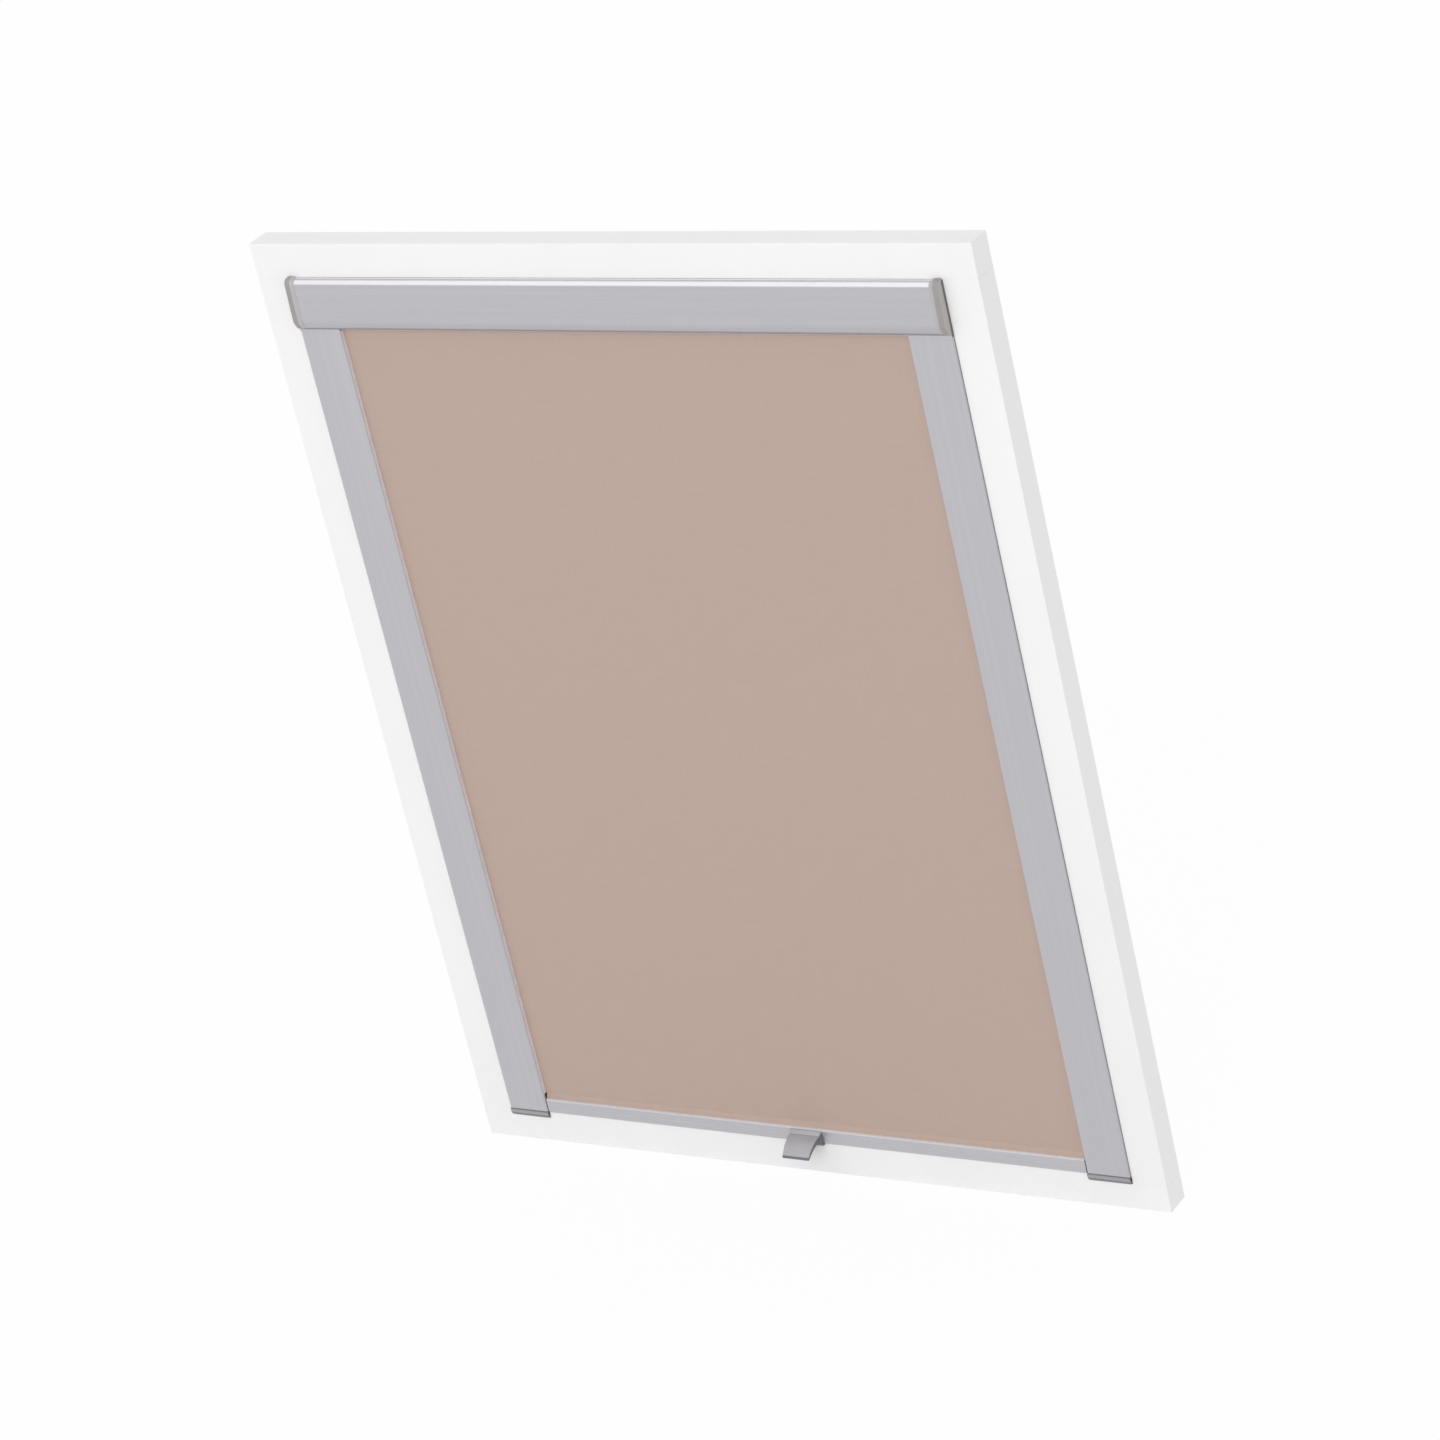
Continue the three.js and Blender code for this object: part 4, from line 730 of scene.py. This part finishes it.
def make_lamp(name, place, aim, size, radiance, onward=(1, 0, 0)):
    """A rectangle of light that faces its aim, its first size lying onward."""
    light = bpy.data.lights.new(name, "AREA")
    light.shape = "RECTANGLE"
    light.size, light.size_y = size
    light.energy = radiance * math.pi * light.size * light.size_y
    lamp = show(bpy.data.objects.new(name, light))
    lamp.location = place
    lamp.visible_camera = False
    away = (Vector(place) - Vector(aim)).normalized()
    up = away.cross(Vector(onward)).normalized()
    lamp.rotation_euler = Matrix((up.cross(away), up, away)).transposed().to_euler()
    return lamp


def make_lamps():
    make_lamp("key", KEY_PLACE, KEY_AIM, (KEY_SIZE, KEY_SIZE), KEY_RADIANCE)
    middle = Vector(ARCH_PLACE)
    aim = (0, 0, middle.z)
    size = (ARCH_LENGTH, ARCH_WIDTH)
    for index, turn in enumerate(ARCH_TURNS):
        angle = math.radians(turn)
        outward = Vector((0, math.sin(angle), math.cos(angle)))
        onward = (0, math.cos(angle), -math.sin(angle))
        place = middle + outward * ARCH_RADIUS
        lamp = make_lamp(f"arch_{index}", place, aim, size, ARCH_RADIANCE, onward)
        lamp.visible_diffuse = False


# CAD nodes: a finish each, with facets joined and edges rounded
def smooth_faces(piece):
    for polygon in piece.data.polygons:
        polygon.use_smooth = True


def soften(piece, width):
    weld = piece.modifiers.new("weld", "WELD")
    weld.merge_threshold = WELD_REACH * MM
    flat = piece.modifiers.new("flat", "DECIMATE")
    flat.decimate_type = "DISSOLVE"
    flat.angle_limit = FLAT_ANGLE
    edge = piece.modifiers.new("edge", "BEVEL")
    edge.width = width * MM
    edge.segments = EDGE_STEPS
    edge.limit_method = "ANGLE"
    edge.angle_limit = FACET_ANGLE
    edge.miter_outer = "MITER_ARC"
    smooth = piece.modifiers.new("smooth", "WEIGHTED_NORMAL")
    smooth.keep_sharp = True
    smooth_faces(piece)


def finish_cad_nodes():
    for node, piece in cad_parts.items():
        slot = piece.data.materials[0].name.split(".")[0]
        low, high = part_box(node)
        level = slot == "anodised_aluminium" and high.x - low.x > high.z - low.z
        finish = SPECIAL_FINISHES.get(node, "anodised_level" if level else slot)
        piece.material_slots[0].material = finishes[finish]
        if slot in EDGE_WIDTHS:
            soften(piece, EDGE_WIDTHS[slot])


# Pieces made here
def new_piece(name, points, faces, body, slot, finish=None, stands_for=()):
    """A mesh piece on a body, in its slot's finish or another, in place of any nodes named."""
    mesh = bpy.data.meshes.new(name)
    mesh.from_pydata([tuple(point) for point in points], [], faces)
    mesh.validate()
    mesh.materials.append(finishes[finish or slot])
    piece = show(bpy.data.objects.new(name, mesh))
    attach(piece, body)
    for node in stands_for:
        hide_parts(node)
    return piece


def paint_faces(piece, finish, chosen):
    """Gives the faces at the chosen places in the mesh a finish of their own."""
    piece.data.materials.append(finishes[finish])
    for index in chosen:
        piece.data.polygons[index].material_index = len(piece.data.materials) - 1


def turn_outward(piece):
    mesh = bmesh.new()
    mesh.from_mesh(piece.data)
    bmesh.ops.recalc_face_normals(mesh, faces=mesh.faces)
    mesh.to_mesh(piece.data)
    mesh.free()


def make_thick(piece, thickness):
    """Gives a sheet its thickness and sharp edges, with the coating on its faces' far side."""
    mesh = bmesh.new()
    mesh.from_mesh(piece.data)
    for edge in mesh.edges:
        edge.smooth = not edge.is_boundary
    mesh.to_mesh(piece.data)
    mesh.free()
    piece.data.materials.append(finishes["cloth_coating"])
    solid = piece.modifiers.new("thickness", "SOLIDIFY")
    solid.thickness = thickness * MM
    solid.offset = 0
    solid.material_offset = 1


def steps(low, high, count):
    return [low + (high - low) * index / count for index in range(count + 1)]


def grid_faces(columns, rows):
    """Quads over points laid out row by row."""
    return [
        (
            row * columns + column,
            row * columns + column + 1,
            (row + 1) * columns + column + 1,
            (row + 1) * columns + column,
        )
        for row in range(rows - 1)
        for column in range(columns - 1)
    ]


def loft_faces(count, start, end):
    """Faces of a closed body through rings of count points, which run from start to end."""
    faces = [
        (
            first + index,
            first + (index + 1) % count,
            first + count + (index + 1) % count,
            first + count + index,
        )
        for first in range(start, end - count, count)
        for index in range(count)
    ]
    faces += [tuple(range(start, start + count)), tuple(range(end - count, end))]
    return faces


def lofted(name, rings, body, slot, finish=None, stands_for=()):
    """A closed body through rings that have as many points each, with flat ends."""
    points = [point for ring in rings for point in ring]
    faces = loft_faces(len(rings[0]), 0, len(points))
    piece = new_piece(name, points, faces, body, slot, finish, stands_for)
    turn_outward(piece)
    smooth_faces(piece)
    piece.data.set_sharp_from_angle(angle=FACET_ANGLE)
    return piece


def rounded(corners):
    """An open path in the plane of y and z through corners, each of them a place and a radius."""
    path = []
    for index, (corner, radius) in enumerate(corners):
        here = Vector(corner)
        if not radius:
            path.append(here)
            continue
        before = (Vector(corners[index - 1][0]) - here).normalized()
        after = (Vector(corners[index + 1][0]) - here).normalized()
        half = before.angle(after) / 2
        centre = here + (before + after).normalized() * radius / math.sin(half)
        first = (here + before * radius / math.tan(half) - centre).normalized()
        last = (here + after * radius / math.tan(half) - centre).normalized()
        path += [centre + first.slerp(last, share) * radius for share in steps(0, 1, ARC_STEPS)]
    return path


def shifted(path, distance):
    """The path moved sideways, to the right of its direction when distance is above 0."""
    moved = []
    for index, here in enumerate(path):
        before = here - path[max(index - 1, 0)]
        after = path[min(index + 1, len(path) - 1)] - here
        into = (before if before.length else after).normalized()
        out = (after if after.length else before).normalized()
        side = Vector((into.y + out.y, -into.x - out.x)) / (1 + into.dot(out))
        moved.append(here + side * distance)
    return moved


# Cassette trim
def cassette_path(proud):
    """The cover's outline from the cloth's exit round the chin and the crown, moved outward."""
    face = surround_front - CASSETTE_PROUD * MM
    chin = face - FACE_RAKE * MM
    corners = [
        ((face + CHIN_DEPTH * MM, cover_low.z), 0),
        ((chin + JOWL_DEPTH * MM, cover_low.z + JOWL_HEIGHT * MM), CHIN_RADIUS * MM),
        ((chin, cover_low.z + CHIN_HEIGHT * MM), CHIN_RADIUS * MM),
        ((face, cover_high.z), CROWN_RADIUS * MM),
        ((trim_back, cover_high.z), 0),
    ]
    return shifted(rounded(corners), -proud * MM)


def make_cap_rim(side, sign):
    """A rim round the end cap that laps over the cover's end. Its inner bezel is painted lighter as a
    highlight, and its outer side is painted lighter against the shade it gets.
    """
    across = [sign * (cap_outer - inset * MM) for inset, proud in RIM_SECTION]
    lines = [cassette_path(proud) for inset, proud in RIM_SECTION]
    front = cover_low.y + RIM_START_REACH * MM
    start = next(index for index, place in enumerate(lines[0]) if place.x < front)
    rings = [
        [(x, *line[index]) for x, line in zip(across, lines)]
        for index in range(start, len(lines[0]))
    ]
    piece = lofted(f"{side}_cap_rim", rings, "root", "end_cap_plastic")
    around = range(len(RIM_SECTION) * (len(rings) - 1))
    # The bezel gets a painted highlight, the outer side a paint that is lighter to make up for its
    # shade
    for finish, sides in (("cap_bezel_highlight", RIM_HIGHLIGHT_SIDES), ("cap_side_lit", RIM_OUTER_SIDES)):
        paint_faces(piece, finish, [index for index in around if index % len(RIM_SECTION) in sides])


def make_cap_shadow_seal(side, sign):
    """A seal round the foot of the cap's outer side, where it meets the surround, painted dark as the
    shadow in that joint.
    """
    front = trim_back - SEAL_WIDTH * MM
    inner = sign * (cap_outer - SEAL_DEPTH * MM)
    outer = sign * (cap_outer + SEAL_PROUD * MM)
    rings = [
        [(inner, front, z), (outer, front, z), (outer, trim_back, z), (inner, trim_back, z)]
        for z in (cover_low.z + SEAL_START * MM, cover_high.z)
    ]
    lofted(f"{side}_cap_seal", rings, "root", "end_cap_plastic", "cap_seal")


def make_top_seal():
    """A seal along the top of the cassette, against the surround, painted pale as light over the gap
    there, which is in shade.
    """
    front = trim_back - TOP_SEAL_REACH * MM
    low = cover_high.z - SEAL_DEPTH * MM
    high = cover_high.z + TOP_SEAL_PROUD * MM
    rings = [
        [(x, front, low), (x, trim_back, low), (x, trim_back, high), (x, front, high)]
        for x in (cover_low.x, cover_high.x)
    ]
    lofted("cassette_top_seal", rings, "root", "end_cap_plastic", "top_seal")


# Rail ends
def make_rail_head(side, sign):
    """The rail's front carried up to the curve of the cassette's chin."""
    line = cassette_path(RAIL_HEAD_GAP)
    lift = (rail_high.z - line[0].y) / (line[1].y - line[0].y)
    back = line[0].x + (line[1].x - line[0].x) * lift
    rings = []
    for y in steps(rail_low.y, back, RAIL_HEAD_LEVELS):
        after = next(index for index in range(1, len(line)) if line[index].x <= y)
        share = (y - line[after].x) / (line[after - 1].x - line[after].x)
        top = line[after].y + (line[after - 1].y - line[after].y) * share
        edges = []
        for edge, radius, inward in (
            (rail_low.x, RAIL_INNER_RADIUS * MM, 1),
            (rail_high.x, RAIL_EDGE_RADIUS * MM, -1),
        ):
            short = max(radius - (y - rail_low.y), 0)
            edges.append(sign * (edge + inward * (radius - math.sqrt(radius**2 - short**2))))
        inner, outer = edges
        rings.append(
            [(inner, y, rail_high.z), (outer, y, rail_high.z), (outer, y, top), (inner, y, top)]
        )
    lofted(f"{side}_rail_head", rings, "root", "anodised_aluminium")


def make_foot_trim(side, sign):
    """The face of the foot cap: rounded lower corners, a bevel painted dark as shade, and a groove at
    its top.
    """
    low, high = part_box(f"{side}_rail_foot_cap")
    foot = low.z - FOOT_PROUD * MM
    front = low.y - FOOT_PROUD * MM
    inner, outer = sorted((abs(low.x), abs(high.x)))
    corner = FOOT_CORNER * MM
    rings = []
    for rise, setback in FOOT_SECTION:
        short = max(corner - rise * MM, 0)
        cut_in = corner - math.sqrt(corner**2 - short**2)
        near = sign * (inner + cut_in)
        far = sign * (outer - cut_in)
        y = front + setback * MM
        z = foot + rise * MM
        rings.append([(near, y, z), (far, y, z), (far, rail_high.y, z), (near, rail_high.y, z)])
    piece = lofted(f"{side}_foot_trim", rings, "root", "end_cap_plastic", "foot_plastic")
    # The bevel's faces are painted darker as shade
    paint_faces(piece, "foot_bevel_shade", range(FOOT_SHADE_RINGS * len(rings[0])))


# Bar and handle
def make_bar_top():
    """A lip on the bar's top, painted light as the highlight along the bar's top edge, and a strip in
    the cloth's colour that covers its groove.
    """
    for name, section, slot, finish in (
        ("bar_top_lip", BAR_LIP_SECTION, "anodised_aluminium", "bar_lip_highlight"),
        ("bar_cover_strip", COVER_STRIP_SECTION, "shoe_plastic", "cover_strip"),
    ):
        rings = [
            [(x, bar_low.y + back * MM, bar_high.z + rise * MM) for back, rise in section]
            for x in (bar_low.x, bar_high.x)
        ]
        lofted(name, rings, "bottom_bar", slot, finish)


def handle_place(reach, drop):
    y = bar_low.y - (HANDLE_SEAT_GAP + reach) * MM
    z = bar_high.z - (HANDLE_TOP_INSET + drop) * MM
    return Vector((y, z))


def handle_half(y):
    """Half the handle's width at a place y in the frame."""
    reach = (bar_low.y - y) / MM - HANDLE_SEAT_GAP
    for (near, wide), (far, narrow) in zip(HANDLE_HALF_WIDTHS, HANDLE_HALF_WIDTHS[1:]):
        if reach <= far:
            return (wide + (narrow - wide) * (reach - near) / (far - near)) * MM
    return HANDLE_HALF_WIDTHS[-1][1] * MM


def visor_line():
    start, bend, end = (Vector(place) for place in VISOR_CURVE)
    return [
        handle_place(*(start * (1 - t) ** 2 + bend * 2 * t * (1 - t) + end * t**2))
        for t in steps(VISOR_START_SHARE, VISOR_END_SHARE, VISOR_STEPS)
    ]


def make_handle():
    """A light shell over a rim painted darker as the shade on the handle's sides and underside: skirts
    under the visor, a lip at its end, and a leg.
    """
    visor = visor_line()
    make_shell([handle_place(*place) for place in HANDLE_FACET] + visor)
    # The skirts, lip and leg are painted darker as shade
    rim = {"body": "bottom_bar", "slot": "handle_plastic", "finish": "handle_rim"}
    make_skirts(visor, rim)
    make_lip(rim)
    make_leg(rim)


def make_shell(top):
    """The facet against the bar and the visor, in one shell with rounded-off sides."""
    edge = SHELL_EDGE * MM
    under = shifted(top, -SHELL_THICKNESS * MM)
    shoulder = shifted(top, -edge)
    rings = []
    for above, side, below in zip(top, shoulder, under):
        half = handle_half(above.x)
        rings.append(
            [
                (-half, *below),
                (-half, *side),
                (edge - half, *above),
                (half - edge, *above),
                (half, *side),
                (half, *below),
            ]
        )
    lofted("handle_shell", rings, "bottom_bar", "handle_plastic", stands_for=["pull_handle"])


def make_skirts(visor, rim):
    """A wall under each side of the visor, deeper at the bar."""
    tops = shifted(visor, -SHELL_EDGE * MM)
    heights = steps(*SKIRT_HEIGHTS, VISOR_STEPS)
    feet = [shifted(visor, -height * MM)[index] for index, height in enumerate(heights)]
    for name, sign in reversed(SIDES):
        rings = []
        for top, foot in zip(tops, feet):
            outer = handle_half(top.x) - SKIRT_INSET * MM
            inner = outer - SKIRT_WALL * MM
            near, far = sign * inner, sign * outer
            rings.append([(far, *top), (near, *top), (near, *foot), (far, *foot)])
        lofted(f"handle_{name}_skirt", rings, **rim)


def make_lip(rim):
    """The rolled lip along the visor's end, which closes in at both of its own ends."""
    lip = [handle_place(*place) for place in LIP_SECTION]
    middle = sum(lip, Vector((0, 0))) / len(lip)
    half = handle_half(middle.x)
    ends = (
        (-half, LIP_END_SHARE),
        (-half + LIP_END_ROUND * MM, 1),
        (half - LIP_END_ROUND * MM, 1),
        (half, LIP_END_SHARE),
    )
    rings = [
        [(x, *(middle + (place - middle) * share)) for place in lip] for x, share in ends
    ]
    lofted("handle_lip", rings, **rim)


def make_leg(rim):
    """The leg on the bar's front: a thin plate, and a gusset at each end with a recessed face that is
    painted darker than the shell as shade.
    """
    start = GUSSET_START * MM
    plate = [handle_place(*place) for place in LEG_OUTLINE]
    lofted("handle_leg", [[(x, *place) for place in plate] for x in (-start, start)], **rim)
    outline = [handle_place(*place) for place in GUSSET_OUTLINE]
    recess = [handle_place(*place) for place in GUSSET_RECESS]
    for name, sign in reversed(SIDES):
        rings = [[(sign * start, *place) for place in outline]]
        for loop, depth in ((outline, 0), (recess, 0), (recess, GUSSET_RECESS_DEPTH)):
            inset = (SKIRT_INSET + depth) * MM
            rings.append([(sign * (handle_half(place.x) - inset), *place) for place in loop])
        piece = lofted(f"handle_{name}_gusset", rings, **rim)
        # The recessed face is painted darker as shade
        paint_faces(piece, "handle_recess", [-1])


# Cloth
def make_highlight_bead(side, sign):
    """The bead along the cloth's edge, in the front of the slot's mouth, painted pale as the highlight
    on the rail's inner lip.
    """
    inner = sign * (rail_low.x + BEAD_INSET * MM)
    outer = sign * (rail_low.x + (BEAD_INSET + BEAD_WIDTH) * MM)
    front = rail_low.y + BEAD_SETBACK * MM
    back = cloth_y - (CLOTH_THICKNESS / 2 + BEAD_CLOTH_GAP) * MM
    rings = [
        [(inner, front, z), (outer, front, z), (outer, back, z), (inner, back, z)]
        for z in (seam_z, rail_high.z)
    ]
    piece = lofted(f"{side}_edge_bead", rings, "root", "blackout_cloth", "edge_bead")
    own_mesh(piece)
    return piece


def make_hanging_cloth():
    """The cloth from the roller to the shoes: flat, but for a ripple that fades at its edges."""
    width = cloth_high.x - cloth_low.x
    drop = cloth_high.z - seam_z
    xs = [cloth_low.x, *steps(bar_low.x, bar_high.x, CLOTH_COLUMNS), cloth_high.x]
    points = []
    for z in steps(seam_z, cloth_high.z, CLOTH_ROWS):
        for x in xs:
            across = (x - cloth_low.x) / width
            up = (z - seam_z) / drop
            calm = math.sin(math.pi * across) * math.sin(math.pi * up)
            wave = sum(math.sin(across * turn + up * slant) for turn, slant in RIPPLE_WAVES)
            points.append((x, cloth_y + calm * wave * RIPPLE * MM, z))
    faces = grid_faces(len(xs), CLOTH_ROWS + 1)
    piece = new_piece(
        "hanging_cloth", points, faces, "root", "blackout_cloth", stands_for=["blind_cloth"]
    )
    smooth_faces(piece)
    make_thick(piece, CLOTH_THICKNESS)
    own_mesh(piece)
    hem = make_hem()
    beads = [make_highlight_bead(side, sign) for side, sign in SIDES]


def make_hem():
    """The cloth's lower end, which is narrower between the shoes and rises with the bar."""
    xs = steps(bar_low.x, bar_high.x, CLOTH_COLUMNS)
    points = [(x, cloth_y, z) for z in (cloth_low.z, seam_z) for x in xs]
    piece = new_piece("cloth_hem", points, grid_faces(len(xs), 2), "bottom_bar", "blackout_cloth")
    smooth_faces(piece)
    make_thick(piece, CLOTH_THICKNESS)
    return piece


def make_wound_cloth():
    """The turns that stay on the tube when the blind is closed."""
    low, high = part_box("wound_cloth")
    tube_low, tube_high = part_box("roller_tube")
    plug_low, plug_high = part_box("roller_idle_plug")
    centre_y = (tube_low.y + tube_high.y) / 2
    centre_z = (plug_low.z + plug_high.z) / 2
    outer = centre_y - cloth_y
    inner = (tube_high.y - tube_low.y) / 2 + CLOTH_THICKNESS * MM
    full_turn = 2 * math.pi
    count = round(WRAPS * WRAP_STEPS)
    points = []
    for share in steps(0, 1, count):
        radius = inner + (outer - inner) * share
        angle = math.pi - full_turn * WRAPS * (1 - share)
        y = centre_y + radius * math.cos(angle)
        z = centre_z + radius * math.sin(angle)
        points += [(high.x, y, z), (low.x, y, z)]
    faces = grid_faces(2, count + 1)
    piece = new_piece(
        "wound_cloth_turns", points, faces, "roller", "blackout_cloth", stands_for=["wound_cloth"]
    )
    smooth_faces(piece)
    make_thick(piece, CLOTH_THICKNESS)


# Brushes
def add_tuft(root, tip, run, across, points, faces):
    """Adds one tuft: a four-sided bundle of fibres that narrows from its root to its tip."""
    start = len(points)
    half = TUFT_WIDTH * MM / 2
    for centre, size in ((root, half), (tip, half * TUFT_TIP_SHARE)):
        points += [centre + run * size * i + across * size * j for i, j in TUFT_CORNERS]
    faces += loft_faces(len(TUFT_CORNERS), start, len(points))


def make_brush(node, run_axis, across_axis, toward):
    """A brush strip in place of a CAD one: a backing, and rows of tufts that point at the cloth."""
    dice = random.Random(f"{node}{SEED}")
    low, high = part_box(node)
    run, across = Vector(), Vector()
    run[run_axis] = across[across_axis] = 1
    pile = Vector((0, toward, 0))
    foot = low.y if toward > 0 else high.y
    line = foot + toward * (high.y - low.y) * BACKING_SHARE
    pile_reach = abs(cloth_y - line) - (CLOTH_THICKNESS / 2 + PILE_GAP) * MM
    backing = [(low.x, foot), (high.x, foot), (high.x, line), (low.x, line)]
    points = [Vector((x, y, z)) for z in (low.z, high.z) for x, y in backing]
    faces = loft_faces(len(backing), 0, len(points))
    margin = TUFT_WIDTH * MM
    count = int((high[run_axis] - low[run_axis] - 2 * margin) / (TUFT_PITCH * MM))
    for place in steps(low[run_axis] + margin, high[run_axis] - margin, count):
        for row in steps(low[across_axis] + margin, high[across_axis] - margin, TUFT_ROWS - 1):
            root = run * place + across * row + Vector((0, line, 0))
            reach = pile_reach * dice.uniform(TUFT_SHORT_SHARE, 1)
            lean = [dice.uniform(-TUFT_LEAN, TUFT_LEAN) * MM for _ in range(2)]
            tip = root + pile * reach + run * lean[0] + across * lean[1]
            add_tuft(root - pile * margin * TUFT_SUNK_SHARE, tip, run, across, points, faces)
    piece = new_piece(f"{node}_pile", points, faces, "root", "brush_pile", stands_for=[node])
    turn_outward(piece)


make_camera()
make_sky()
make_floor()
make_lamps()
bpy.context.scene.view_settings.view_transform = "Standard"

finishes = make_finishes()
finish_cad_nodes()
make_hanging_cloth()
make_wound_cloth()
make_handle()
make_bar_top()
make_top_seal()
for side, sign in SIDES:
    make_cap_rim(side, sign)
    make_cap_shadow_seal(side, sign)
    make_rail_head(side, sign)
    make_foot_trim(side, sign)
    make_brush(f"{side}_rail_front_brush", Z_AXIS, X_AXIS, 1)
    make_brush(f"{side}_rail_back_brush", Z_AXIS, X_AXIS, -1)
make_brush("cassette_exit_brush", X_AXIS, Z_AXIS, -1)
